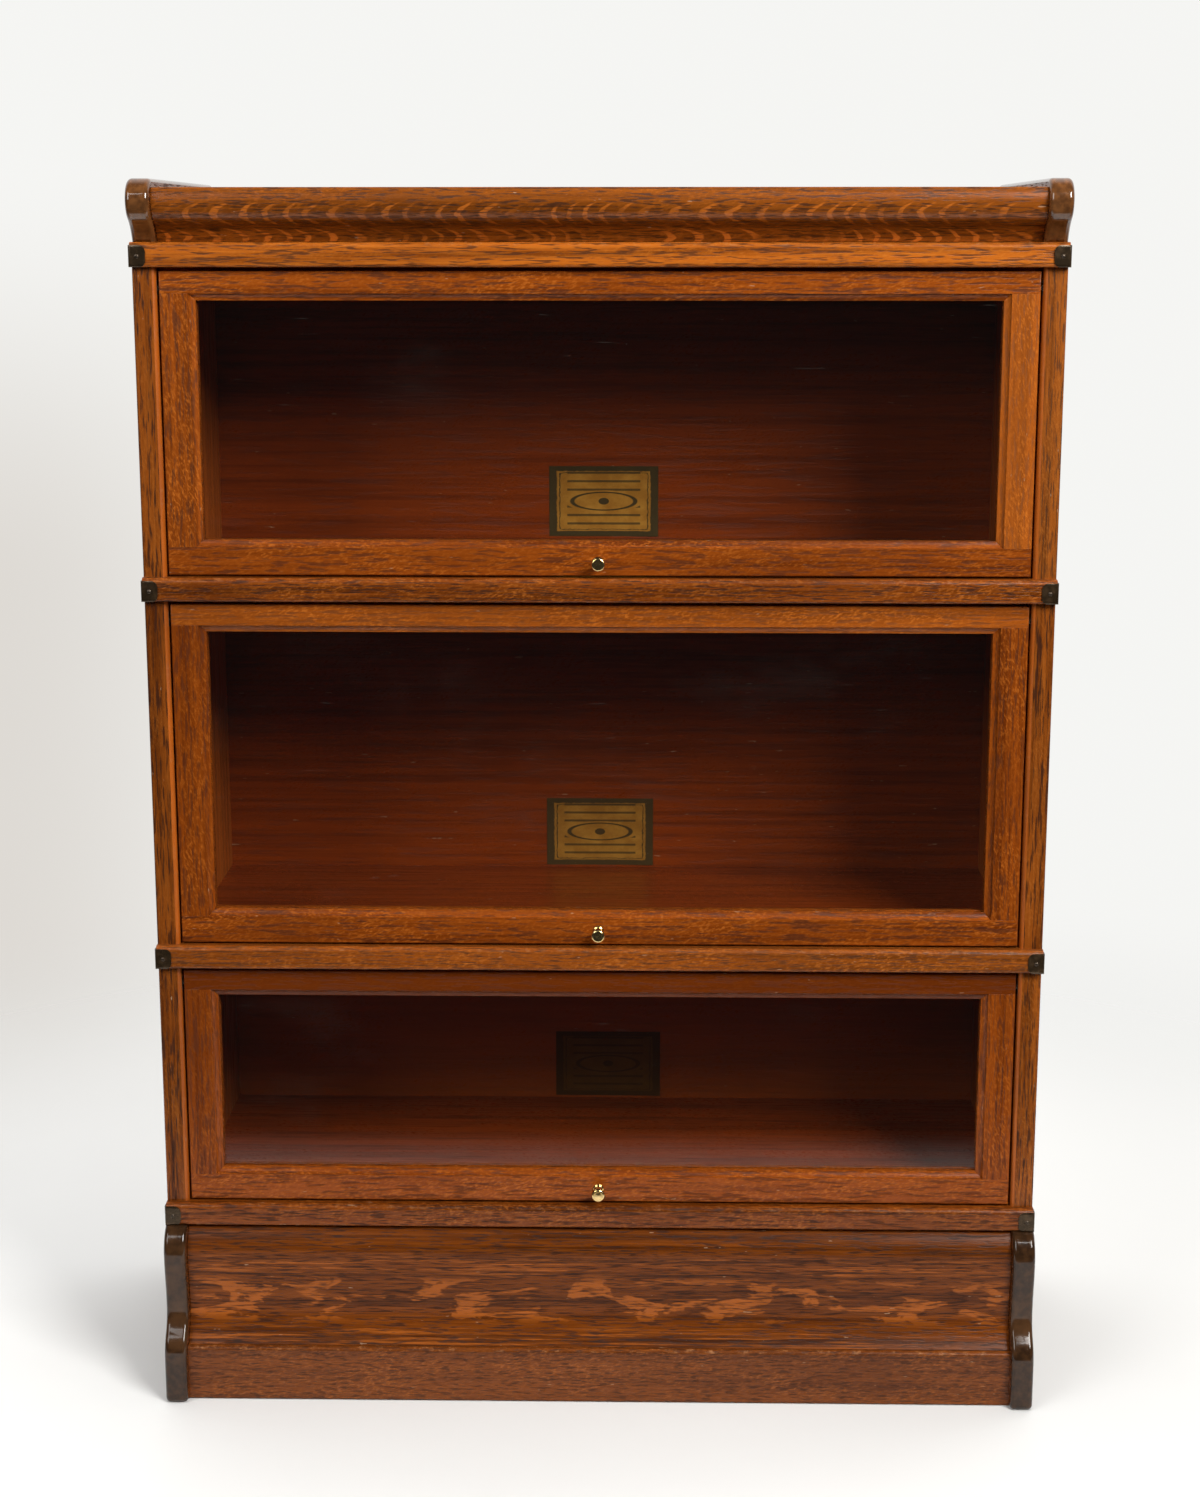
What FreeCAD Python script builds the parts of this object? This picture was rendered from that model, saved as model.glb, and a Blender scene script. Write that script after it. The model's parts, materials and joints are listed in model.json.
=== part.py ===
"""Sectional barrister bookcase in quarter-sawn oak: a base, three stacked glazed sections and a crown.

Every section is a box that is open at the top and stands on the one below. Its glazed door hangs on two
carriages that run in steel tracks near the top of the sides: the door lifts to the horizontal about its pivot
pins, and then slides back under the unit above. Brass-lacquered steel bands wrap the joints between the units.

Row frame, in millimetres: +Z up, the front of the bookcase faces -Y, and the origin is on the floor in the
middle of the footprint. Heights inside one unit are counted from that unit's own underside.
"""

import FreeCAD
import Part
import os

V = FreeCAD.Vector

# ---------------------------------------------------------------- driving dimensions
INCH = 25.4

WIDTH = 34 * INCH                # over the side boards
CASE_DEPTH = 12.5 * INCH         # from the sides' front edge to the back
SIDE_THICK = 7 / 8 * INCH
BOARD_THICK = 22.8               # bottom boards, and the height of every front rail
BACK_THICK = 7.5

# Clear height for books in each section, from the lowest section up.
CLEAR_HEIGHTS = {"lower": 8.5 * INCH, "middle": 12.25 * INCH, "upper": 10.25 * INCH}

# Front rails and the steel bands that wrap their ends
RAIL_PROJECTION = 8.0            # how far a rail stands in front of the sides
RAIL_TENON = 14.0                # how far it reaches behind the sides' front edge
RAIL_TOP_ROUND = 5.0
RAIL_FOOT_ROUND = 3.0
BAND_THICK = 1.2
BAND_HEIGHT = 20.0
BAND_RETURN = 16.0               # width of the tongue on the rail's front
BAND_TONGUE_ROUND = 6.0
BAND_CORNER_ROUND = 2.4
SCREW_HEAD_RADIUS = 2.2
SCREW_HEAD_HEIGHT = 0.9
SCREW_SHANK_RADIUS = 1.2
SCREW_LENGTH = 9.0
STRAP_SCREWS_FROM_BACK = (24.0, 158.0)

# Side boards
SIDE_ROUND_IN = 5.0
SIDE_ROUND_OUT = 2.5
HOUSING = 6.0                    # how deep the bottom board sits in the sides
BACK_RABBET = 9.5                # how deep the back panel sits in the sides

# Doors
DOOR_THICK = 19.0
DOOR_SETBACK = 2.0               # door face behind the sides' front edge
DOOR_SIDE_GAP = 2.0
DOOR_TOP_GAP = 3.5
DOOR_FOOT_GAP = 1.6
DOOR_FACE_WIDTH = 26.4           # flat face of the stiles and the bottom rail
DOOR_HEAD_WIDTH = 20.5           # flat face of the top rail
STICKING_WIDTH = 6.5             # moulded inner edge, face to sight line
STICKING_STEP = 1.2
STICKING_DEPTH = 5.5
DOOR_LIP = 3.5                   # wood in front of the glass at the sight line
REBATE_WIDTH = 6.0
GLASS_THICK = 3.0
GLASS_EDGE_GAP = 1.0
BEAD_RECESS = 0.5                # beads stay this far inside the door's back
DOOR_EDGE_ROUND = 1.5

# Door gear
PIVOT_DROP = 15.0                # pivot axis below the door's top edge
PIN_RADIUS = 3.0
PIN_CLEARANCE = 0.05
PIN_ENGAGEMENT = 10.0
PLATE_THICK = 1.5
PLATE_WIDTH = 14.0
PLATE_HEIGHT = 10.0
TRACK_HEIGHT = 14.0
TRACK_DEPTH = 9.0
TRACK_WALL = 1.2
TRACK_FRONT = 4.0                # track begins this far behind the sides' front edge
SHOE_CLEARANCE = 0.3
SHOE_NOSE = 6.0                  # shoe reaches this far in front of the pivot
SHOE_TAIL = 21.0
SHOE_END_ROUND = 3.0
BAR_CLEARANCE = 0.75             # between the bar and the turning door's corner
BAR_THICK = 2.0
BAR_HEIGHT = 10.0

# Knobs
KNOB_RADIUS = 7.0
KNOB_NECK_RADIUS = 2.8
KNOB_FLANGE_RADIUS = 4.8
KNOB_PROJECTION = 19.0
KNOB_SHANK_RADIUS = 2.0
KNOB_SHANK_LENGTH = 13.0
KNOB_SHANK_CLEARANCE = 0.05

# Paper labels on the back panels
LABEL_WIDTH = 116.0
LABEL_HEIGHT = 74.5
LABEL_THICK = 0.3
LABEL_LIFT = 2.5                 # above the bottom board
LABEL_SHIFTS = {"lower": 4.5, "middle": -4.5, "upper": -0.5}

# Crown
CROWN_END_HEIGHT = 80.0
CROWN_FRONT_HEIGHT = CROWN_END_HEIGHT - 8.0
CROWN_BULGE = 22.0               # scroll ends in front of the sides at the fullest point
CROWN_BULGE_HEIGHT = CROWN_END_HEIGHT * 0.742
CROWN_WAIST = -5.0               # scroll ends at the rail
CROWN_FRONT_INSET = 9.0          # front moulding behind the scroll ends
CROWN_BOARD_THICK = 16.0
CROWN_BACK_THICK = 18.0
MOULDING_THICK = 20.0
SCROLL_EDGE_ROUND = 4.5

# Base
BASE_HEIGHT = 7 * INCH
BASE_SIDE_OVERHANG = BAND_THICK  # base ends stand flush with the bands
BASE_BULGE = 24.3
BASE_BULGE_HEIGHT = BASE_HEIGHT * 0.843
BASE_HEAD_FULLNESS = 1.22        # head radius over its rise, so that it meets the section at an angle
BASE_WAIST = 19.4
BASE_WAIST_HEIGHT = BASE_HEIGHT * 0.534
FOOT_PROJECTION = 38.0
TOE_ROUND = 6.0
FOOT_SHOULDER_HEIGHT = BASE_HEIGHT * 0.27
BASE_FRONT_INSET = 11.0          # ogee board and plinth behind the scroll ends
PLINTH_HEIGHT = BASE_HEIGHT * 0.32
PLINTH_FLOOR_GAP = 1.5
PLINTH_THICK = 22.0
PLINTH_TOP_ROUND = 4.5
OGEE_FLARE = 22.0                # ogee board's foot in front of the sides
OGEE_THICK = 20.0
BASE_BACK_THICK = 20.0
BASE_BACK_FLOOR_GAP = 20.0

# ---------------------------------------------------------------- derived places
HALF = WIDTH / 2
INNER = HALF - SIDE_THICK
FRONT = (FOOT_PROJECTION - CASE_DEPTH) / 2      # y of the sides' front edge
BACK = FRONT + CASE_DEPTH
BACK_FACE = BACK - BACK_THICK                   # y of the back panels' inner face
DOOR_FRONT = FRONT + DOOR_SETBACK
DOOR_BACK = DOOR_FRONT + DOOR_THICK
DOOR_HALF = INNER - DOOR_SIDE_GAP
PIVOT_Y = DOOR_FRONT + DOOR_THICK / 2
DOOR_CORNER_RADIUS = (PIVOT_DROP**2 + (DOOR_THICK / 2) ** 2) ** 0.5
DOOR_BAY = DOOR_TOP_GAP + PIVOT_DROP + DOOR_THICK / 2   # room that the raised door takes
FRAME_WIDTH = DOOR_FACE_WIDTH + STICKING_WIDTH
HEAD_WIDTH = DOOR_HEAD_WIDTH + STICKING_WIDTH
RAIL_FACE = FRONT - RAIL_PROJECTION
BAND_FACE = RAIL_FACE - BAND_THICK
BAND_SIDE = HALF + BAND_THICK
BASE_HALF = HALF + BASE_SIDE_OVERHANG
BASE_INNER = BASE_HALF - SIDE_THICK


class Section:
    """The heights of one section, and what its door needs."""

    def __init__(self, name, foot, clear_height):
        self.name = name
        self.foot = foot
        self.height = BOARD_THICK + clear_height + DOOR_BAY
        self.top = foot + self.height
        self.floor = foot + BOARD_THICK
        self.door_foot = self.floor + DOOR_FOOT_GAP
        self.door_top = self.top - DOOR_TOP_GAP
        self.door_height = self.door_top - self.door_foot
        self.pivot_z = self.door_top - PIVOT_DROP


def stack():
    """The three sections from the floor up, and the height where the crown begins."""
    sections = []
    foot = BASE_HEIGHT
    for name, clear_height in CLEAR_HEIGHTS.items():
        sections.append(Section(name, foot, clear_height))
        foot = sections[-1].top
    return sections, foot


SECTIONS, CROWN_FOOT = stack()

# ---------------------------------------------------------------- small shape tools
OVERSHOOT = 1.0                  # how far a cutter runs past the wood


def block(x0, x1, y0, y1, z0, z1):
    return Part.makeBox(x1 - x0, y1 - y0, z1 - z0, V(x0, y0, z0))


def mirrored(shape):
    """The same piece on the other side of the middle plane."""
    return shape.mirror(V(0, 0, 0), V(1, 0, 0))


def line(a, b):
    return Part.makeLine(a, b)


def arc(a, middle, b):
    return Part.Arc(a, middle, b).toShape()


def prism(edges, direction):
    """A closed outline pushed along a direction."""
    return Part.Face(Part.Wire(Part.__sortEdges__(edges))).extrude(direction)


def quarter(a, b, corner, radius):
    """Arc from a to b that rounds off a right-angled corner."""
    inside = a + b - corner
    middle = inside + (corner - inside).normalize() * radius
    return arc(a, middle, b)


def rod(radius, start, direction, length):
    return Part.makeCylinder(radius, length, start, direction)


def fuse(shape, *others):
    for other in others:
        shape = shape.fuse(other)
    return shape.removeSplitter()


def cut(shape, *tools):
    for tool in tools:
        shape = shape.cut(tool)
    return shape


def export(node, *solids):
    """Writes one node's solids to its STEP file."""
    shape = solids[0] if len(solids) == 1 else Part.makeCompound(list(solids))
    shape.exportStep(os.path.join("parts", node + ".step"))
    print(f"{node:28s} {len(shape.Solids)} solid(s), {shape.Volume / 1000:9.1f} cm3")


# ---------------------------------------------------------------- bands, their screws and the rails they wrap
def screw(head_seat, direction):
    """Domed wood screw whose head sits on head_seat; direction points into the wood."""
    shank = rod(SCREW_SHANK_RADIUS, head_seat, direction, SCREW_LENGTH)
    ball = (SCREW_HEAD_RADIUS**2 + SCREW_HEAD_HEIGHT**2) / (2 * SCREW_HEAD_HEIGHT)
    centre = head_seat + direction * (ball - SCREW_HEAD_HEIGHT)
    dome = Part.makeSphere(ball, centre)
    cap = dome.common(rod(SCREW_HEAD_RADIUS, head_seat - direction * ball, direction, ball))
    return fuse(cap, shank)


def screw_hole(head_seat, direction):
    return rod(SCREW_SHANK_RADIUS, head_seat - direction * OVERSHOOT, direction, SCREW_LENGTH + OVERSHOOT)


def band_screw_places(foot):
    """Where the right-hand band of a unit is screwed: (seat, direction) pairs."""
    z = foot + BAND_HEIGHT / 2
    places = [(V(BAND_SIDE - BAND_RETURN / 2, BAND_FACE, z), V(0, 1, 0))]
    for from_back in STRAP_SCREWS_FROM_BACK:
        places.append((V(BAND_SIDE, BACK - from_back, z), V(-1, 0, 0)))
    return places


def rail_outline(x, foot, grow, behind):
    """A front rail's section, grown outwards by grow, with its back at y = behind."""
    face, top, bottom = RAIL_FACE - grow, foot + BOARD_THICK + grow, foot - grow
    crown, heel = RAIL_TOP_ROUND + grow, RAIL_FOOT_ROUND + grow
    a, b = V(x, behind, bottom), V(x, face + heel, bottom)
    c, d = V(x, face, bottom + heel), V(x, face, top - crown)
    e, f = V(x, face + crown, top), V(x, behind, top)
    return [line(a, b), quarter(b, c, V(x, face, bottom), heel), line(c, d),
            quarter(d, e, V(x, face, top), crown), line(e, f), line(f, a)]


def front_rail(foot):
    """Nosing across a unit's foot, drilled for the two band screws in its face."""
    rail = prism(rail_outline(-HALF, foot, 0, FRONT + RAIL_TENON), V(WIDTH, 0, 0))
    seat, direction = band_screw_places(foot)[0]
    hole = screw_hole(seat, direction)
    return cut(rail, hole, mirrored(hole))


def band(foot):
    """Right-hand steel band: a strap along the side with a tongue round the rail's end."""
    low, high = foot, foot + BAND_HEIGHT
    left, right, r = BAND_SIDE - BAND_RETURN, BAND_SIDE, BAND_CORNER_ROUND
    a, b = V(left, BACK, low), V(left, BAND_FACE, low)
    c, d = V(right - r, BAND_FACE, low), V(right, BAND_FACE + r, low)
    e = V(right, BACK, low)
    plan = [line(a, b), line(b, c), quarter(c, d, V(right, BAND_FACE, low), r), line(d, e), line(e, a)]
    bar = prism(plan, V(0, 0, BAND_HEIGHT))
    bar = bar.common(prism(rail_outline(left, foot, BAND_THICK, BACK), V(BAND_RETURN, 0, 0)))
    t = BAND_TONGUE_ROUND
    p, q = V(left + t, BAND_FACE, low), V(left, BAND_FACE, low + t)
    s, u = V(left, BAND_FACE, high - t), V(left + t, BAND_FACE, high)
    v, w = V(right, BAND_FACE, high), V(right, BAND_FACE, low)
    tongue = [quarter(p, q, V(left, BAND_FACE, low), t), line(q, s), quarter(s, u, V(left, BAND_FACE, high), t),
              line(u, v), line(v, w), line(w, p)]
    bar = bar.common(prism(tongue, V(0, BACK - BAND_FACE, 0)))
    wood = prism(rail_outline(0, foot, 0, FRONT + RAIL_TENON), V(HALF, 0, 0))
    bar = cut(bar, wood, block(0, HALF, FRONT, BACK, foot - OVERSHOOT, high + OVERSHOOT))
    return cut(bar, *[screw_hole(seat, way) for seat, way in band_screw_places(foot)])


def strap_holes(foot):
    return [screw_hole(seat, way) for seat, way in band_screw_places(foot)[1:]]


def rail_notch(foot):
    """Room that a side or crown end leaves for the front rail."""
    return block(INNER - OVERSHOOT, HALF + OVERSHOOT, FRONT - FOOT_PROJECTION, FRONT + RAIL_TENON,
                 foot - OVERSHOOT, foot + BOARD_THICK)


# ---------------------------------------------------------------- section carcass
def track_space(section):
    """The groove in the right-hand side that holds the track."""
    z0 = section.pivot_z - TRACK_HEIGHT / 2
    return block(INNER - OVERSHOOT, INNER + TRACK_DEPTH, FRONT + TRACK_FRONT, BACK_FACE,
                 z0, z0 + TRACK_HEIGHT)


def side(section):
    """Right-hand side board with its rounded front edge, rail notch, housings and track groove."""
    z = section.foot
    a, b = V(INNER, BACK, z), V(INNER, FRONT + SIDE_ROUND_IN, z)
    c, d = V(INNER + SIDE_ROUND_IN, FRONT, z), V(HALF - SIDE_ROUND_OUT, FRONT, z)
    e, f = V(HALF, FRONT + SIDE_ROUND_OUT, z), V(HALF, BACK, z)
    plan = [line(a, b), quarter(b, c, V(INNER, FRONT, z), SIDE_ROUND_IN), line(c, d),
            quarter(d, e, V(HALF, FRONT, z), SIDE_ROUND_OUT), line(e, f), line(f, a)]
    board = prism(plan, V(0, 0, section.height))
    floor_housing = block(INNER - OVERSHOOT, INNER + HOUSING, FRONT, BACK_FACE, z - OVERSHOOT, section.floor)
    back_rabbet = block(INNER - OVERSHOOT, INNER + BACK_RABBET, BACK_FACE, BACK + OVERSHOOT,
                        z - OVERSHOOT, section.top + OVERSHOOT)
    return cut(board, rail_notch(z), floor_housing, back_rabbet, track_space(section), *strap_holes(z))


def bottom_board(section):
    half = INNER + HOUSING
    return block(-half, half, FRONT + RAIL_TENON, BACK_FACE, section.foot, section.floor)


def back_panel(section):
    half = INNER + BACK_RABBET
    return block(-half, half, BACK_FACE, BACK, section.foot, section.top)


def label(section):
    """Paper label pasted low on the back panel."""
    middle, z0 = LABEL_SHIFTS[section.name], section.floor + LABEL_LIFT
    return block(middle - LABEL_WIDTH / 2, middle + LABEL_WIDTH / 2, BACK_FACE - LABEL_THICK, BACK_FACE,
                 z0, z0 + LABEL_HEIGHT)


def track(section):
    """Right-hand steel channel, open towards the door."""
    z0 = section.pivot_z - TRACK_HEIGHT / 2
    y0, y1 = FRONT + TRACK_FRONT, BACK_FACE
    channel = block(INNER, INNER + TRACK_DEPTH, y0, y1, z0, z0 + TRACK_HEIGHT)
    inside = block(INNER - OVERSHOOT, INNER + TRACK_DEPTH - TRACK_WALL, y0 + TRACK_WALL, y1 - TRACK_WALL,
                   z0 + TRACK_WALL, z0 + TRACK_HEIGHT - TRACK_WALL)
    return cut(channel, inside)


# ---------------------------------------------------------------- door gear
def shoe(section):
    """Right-hand carriage shoe, which slides in the track, with the pin that the door turns on."""
    x0, x1 = INNER + SHOE_CLEARANCE, INNER + TRACK_DEPTH - TRACK_WALL - SHOE_CLEARANCE
    half = TRACK_HEIGHT / 2 - TRACK_WALL - SHOE_CLEARANCE
    y0, y1, z, r = PIVOT_Y - SHOE_NOSE, PIVOT_Y + SHOE_TAIL, section.pivot_z, SHOE_END_ROUND
    edges = []
    corners = [V(x0, y0, z - half), V(x0, y1, z - half), V(x0, y1, z + half), V(x0, y0, z + half)]
    steps = [V(0, 1, 0), V(0, 0, 1), V(0, -1, 0), V(0, 0, -1)]
    for i, corner in enumerate(corners):
        before, after = steps[i - 1], steps[i]
        edges.append(quarter(corner - before * r, corner + after * r, corner, r))
        edges.append(line(corner + after * r, corners[(i + 1) % 4] - after * r))
    body = prism(edges, V(x1 - x0, 0, 0))
    tip = DOOR_HALF - PIN_ENGAGEMENT
    return fuse(body, rod(PIN_RADIUS, V(tip, PIVOT_Y, z), V(1, 0, 0), x0 - tip))


def equalizer_bar(section):
    """Flat bar that ties the two shoes together, so that the door runs back square."""
    half = INNER + SHOE_CLEARANCE
    y0 = PIVOT_Y + DOOR_CORNER_RADIUS + BAR_CLEARANCE
    z = section.pivot_z
    return block(-half, half, y0, y0 + BAR_THICK, z - BAR_HEIGHT / 2, z + BAR_HEIGHT / 2)


def pin_bore(section, radius):
    """Bore for the right-hand pivot pin, a little deeper than the pin reaches."""
    depth = PIN_ENGAGEMENT + OVERSHOOT
    return rod(radius, V(DOOR_HALF - depth, PIVOT_Y, section.pivot_z), V(1, 0, 0), depth + OVERSHOOT)


def plate_space(section):
    z = section.pivot_z
    return block(DOOR_HALF - PLATE_THICK, DOOR_HALF, PIVOT_Y - PLATE_WIDTH / 2, PIVOT_Y + PLATE_WIDTH / 2,
                 z - PLATE_HEIGHT / 2, z + PLATE_HEIGHT / 2)


def pivot_plate(section):
    """Right-hand steel plate let into the end of the door's top rail, which the pin passes through."""
    return cut(plate_space(section), pin_bore(section, PIN_RADIUS + PIN_CLEARANCE))


# ---------------------------------------------------------------- door
def door_opening(section, grow, y0, y1):
    """The glazed opening's outline, grown outwards, from depth y0 to y1."""
    half = DOOR_HALF - FRAME_WIDTH + grow
    low = section.door_foot + FRAME_WIDTH - grow
    high = section.door_top - HEAD_WIDTH + grow
    return block(-half, half, y0, y1, low, high)


def sticking_cutter(section):
    """Ring with the moulded edge's hollow shape, mitred at the corners."""
    half = DOOR_HALF - FRAME_WIDTH
    low, high = section.door_foot + FRAME_WIDTH, section.door_top - HEAD_WIDTH
    y0 = DOOR_FRONT
    path = Part.makePolygon([V(-half, y0, low), V(half, y0, low), V(half, y0, high), V(-half, y0, high),
                             V(-half, y0, low)])
    outer = low - STICKING_WIDTH
    a, b = V(0, y0 - OVERSHOOT, low), V(0, y0 - OVERSHOOT, outer)
    c, d = V(0, y0 + STICKING_STEP, outer), V(0, y0 + STICKING_DEPTH, low)
    drop, run = STICKING_DEPTH - STICKING_STEP, STICKING_WIDTH
    middle = V(0, y0 + STICKING_STEP + drop * 0.62, outer + run * 0.38)
    profile = Part.Wire([line(a, b), line(b, c), arc(c, middle, d), line(d, a)])
    return path.makePipeShell([profile], True, False, 1)


def rail_region(edge, face, sight):
    """Everything that belongs to a door rail: its full-width face, and its moulding up to the mitres.

    The three heights are the door's outer edge, the end of the flat face, and the sight line.
    """
    outline = [(HALF, edge), (HALF, face), (DOOR_HALF - DOOR_FACE_WIDTH, face), (DOOR_HALF - FRAME_WIDTH, sight)]
    outline += [(-x, z) for x, z in reversed(outline)]
    corners = [V(x, FRONT, z) for x, z in outline]
    return Part.Face(Part.makePolygon(corners + corners[:1])).extrude(V(0, CASE_DEPTH, 0))


def door_frame(section):
    """The door's two rails and two stiles. The rails run through, and the stiles stand between them."""
    low, high = section.door_foot, section.door_top
    cutters = [
        door_opening(section, 0, DOOR_FRONT - OVERSHOOT, DOOR_BACK + OVERSHOOT),
        door_opening(section, REBATE_WIDTH, DOOR_FRONT + STICKING_DEPTH + DOOR_LIP, DOOR_BACK + OVERSHOOT),
        sticking_cutter(section),
    ]
    blank = block(-DOOR_HALF, DOOR_HALF, DOOR_FRONT, DOOR_BACK, low, high)
    rim = [e for e in blank.Edges if abs(e.CenterOfMass.y - DOOR_FRONT) < 0.01]
    whole = cut(blank.makeFillet(DOOR_EDGE_ROUND, rim), *cutters)
    bottom = whole.common(rail_region(low, low + DOOR_FACE_WIDTH, low + FRAME_WIDTH))
    top = whole.common(rail_region(high, high - DOOR_HEAD_WIDTH, high - HEAD_WIDTH))
    right = cut(whole.common(block(0, HALF, FRONT, BACK, low, high)), bottom, top)
    gear = []
    for tool in (plate_space(section), pin_bore(section, PIN_RADIUS + PIN_CLEARANCE)):
        gear += [tool, mirrored(tool)]
    knob_hole = rod(KNOB_SHANK_RADIUS + KNOB_SHANK_CLEARANCE, V(0, DOOR_FRONT, knob_height(section)),
                    V(0, 1, 0), KNOB_SHANK_LENGTH + OVERSHOOT)
    return cut(top, *gear), cut(bottom, knob_hole), cut(right, *gear)


def glass(section):
    y0 = DOOR_FRONT + STICKING_DEPTH + DOOR_LIP
    return door_opening(section, REBATE_WIDTH - GLASS_EDGE_GAP, y0, y0 + GLASS_THICK)


def glass_beads(section):
    """Four square beads that hold the glass from behind."""
    y0 = DOOR_FRONT + STICKING_DEPTH + DOOR_LIP + GLASS_THICK
    y1 = DOOR_BACK - BEAD_RECESS
    ring = cut(door_opening(section, REBATE_WIDTH, y0, y1),
               door_opening(section, 0, y0 - OVERSHOOT, y1 + OVERSHOOT))
    sill = section.door_foot + FRAME_WIDTH
    head = section.door_top - HEAD_WIDTH
    across = HALF
    return [
        ring.common(block(-across, across, y0, y1, sill - REBATE_WIDTH, sill)),
        ring.common(block(-across, across, y0, y1, head, head + REBATE_WIDTH)),
        ring.common(block(0, across, y0, y1, sill, head)),
        ring.common(block(-across, 0, y0, y1, sill, head)),
    ]


def knob_height(section):
    return section.door_foot + DOOR_FACE_WIDTH / 2


def knob(section):
    """Turned brass knob: flange, waisted neck and a flat-faced head, with its screw shank."""
    z, face = knob_height(section), DOOR_FRONT
    tip = face - KNOB_PROJECTION
    outline = [
        (face + KNOB_SHANK_LENGTH, 0),
        (face + KNOB_SHANK_LENGTH, KNOB_SHANK_RADIUS),
        (face, KNOB_SHANK_RADIUS),
        (face, KNOB_FLANGE_RADIUS),
        (face - 1.6, KNOB_FLANGE_RADIUS),
        (face - 3.4, KNOB_NECK_RADIUS + 0.5),
        (face - 7.0, KNOB_NECK_RADIUS),
        (tip + 5.0, KNOB_RADIUS - 0.6),
    ]
    turned = [V(0, y, z + r) for y, r in outline]
    rim, front = V(0, tip + 1.2, z + KNOB_RADIUS - 0.3), V(0, tip, z + KNOB_RADIUS - 1.8)
    edges = [line(a, b) for a, b in zip(turned, turned[1:])]
    edges += [arc(turned[-1], V(0, tip + 3.4, z + KNOB_RADIUS), rim), line(rim, front)]
    edges += [line(front, V(0, tip, z)), line(V(0, tip, z), turned[0])]
    return Part.Face(Part.Wire(edges)).revolve(V(0, 0, z), V(0, 1, 0), 360)


# ---------------------------------------------------------------- crown and base
def halfway(a, b):
    return (a[0] + b[0]) / 2, (a[1] + b[1]) / 2


def ogee(x, points, heading):
    """Smooth run of arcs at one x; each arc carries on in the direction in which the last one ended.

    Points and heading are (forward, up) pairs, and forward counts from the sides' front edge.
    """
    places = [V(x, FRONT - p, z) for p, z in points]
    way = V(0, -heading[0], heading[1]).normalize()
    arcs = []
    for a, b in zip(places, places[1:]):
        chord = (b - a).normalize()
        lean = (way + chord).normalize()
        middle = a + lean * (a.distanceToPoint(b) / 2 / lean.dot(chord))
        arcs.append(arc(a, middle, b))
        way = chord * (2 * chord.dot(way)) - way
    return arcs


def round_front(board):
    """Rounds the curved front edges of a scroll end, on both faces."""
    faces = (board.BoundBox.XMin, board.BoundBox.XMax)
    curved = [e for e in board.Edges if e.Curve.TypeId == "Part::GeomCircle"]
    front = [e for e in curved if any(abs(e.CenterOfMass.x - x) < 0.01 for x in faces)]
    return board.makeFillet(SCROLL_EDGE_ROUND, front)


def crown_scroll(x, inset, height):
    """The crown's ogee, inset behind the scroll ends and cut off at a height: its arcs and two end points."""
    ledge, bulge_z = CROWN_FOOT + BOARD_THICK, CROWN_FOOT + CROWN_BULGE_HEIGHT
    bulge, waist = CROWN_BULGE - inset, CROWN_WAIST - inset
    turn = (waist + (bulge - waist) * 0.61, (ledge + bulge_z) / 2)
    head, rise = CROWN_END_HEIGHT - CROWN_BULGE_HEIGHT, height - CROWN_BULGE_HEIGHT
    brow = (bulge - head + (head**2 - rise**2) ** 0.5, CROWN_FOOT + height)
    arcs = ogee(x, [(bulge, bulge_z), brow], (0, 1))
    arcs += ogee(x, [(bulge, bulge_z), turn, (waist, ledge)], (0, -1))
    return arcs, V(x, FRONT - waist, ledge), V(x, FRONT - brow[0], CROWN_FOOT + height)


def crown_end():
    """Right-hand scroll end of the crown."""
    x, top = INNER, CROWN_FOOT + CROWN_END_HEIGHT
    arcs, ledge_front, brow = crown_scroll(x, 0, CROWN_END_HEIGHT)
    notch_top, notch_foot = V(x, FRONT + RAIL_TENON, ledge_front.z), V(x, FRONT + RAIL_TENON, CROWN_FOOT)
    back_top, back_foot = V(x, BACK, top), V(x, BACK, CROWN_FOOT)
    edges = arcs + [line(brow, back_top), line(back_top, back_foot), line(back_foot, notch_foot),
                    line(notch_foot, notch_top), line(notch_top, ledge_front)]
    board = round_front(prism(edges, V(SIDE_THICK, 0, 0)))
    return cut(board, *strap_holes(CROWN_FOOT))


def moulding_back():
    """The y of the crown moulding's flat back."""
    return FRONT - (CROWN_WAIST - CROWN_FRONT_INSET) + MOULDING_THICK


def crown_moulding():
    """Ogee moulding between the crown's scroll ends."""
    x, behind = -INNER, moulding_back()
    arcs, first, last = crown_scroll(x, CROWN_FRONT_INSET, CROWN_FRONT_HEIGHT)
    top, foot = V(x, behind, last.z), V(x, behind, first.z)
    return prism(arcs + [line(last, top), line(top, foot), line(foot, first)], V(2 * INNER, 0, 0))


def crown_board():
    top = CROWN_FOOT + CROWN_FRONT_HEIGHT
    return block(-INNER, INNER, moulding_back(), BACK, top - CROWN_BOARD_THICK, top)


def crown_back_rail():
    top = CROWN_FOOT + CROWN_FRONT_HEIGHT - CROWN_BOARD_THICK
    return block(-INNER, INNER, BACK - CROWN_BACK_THICK, BACK, CROWN_FOOT, top)


def base_scroll(x, inset, foot):
    """The base's ogee, inset behind the scroll ends: its arcs, ending at the point foot, and its top point."""
    rise = BASE_HEIGHT - BASE_BULGE_HEIGHT
    head = rise * BASE_HEAD_FULLNESS
    bulge, waist = (BASE_BULGE - inset, BASE_BULGE_HEIGHT), (BASE_WAIST - inset, BASE_WAIST_HEIGHT)
    brow = (bulge[0] - head + (head**2 - rise**2) ** 0.5, BASE_HEIGHT)
    arcs = ogee(x, [bulge, brow], (0, 1))
    arcs += ogee(x, [bulge, halfway(bulge, waist), waist] + foot, (0, -1))
    return arcs, V(x, FRONT - brow[0], BASE_HEIGHT)


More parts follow.
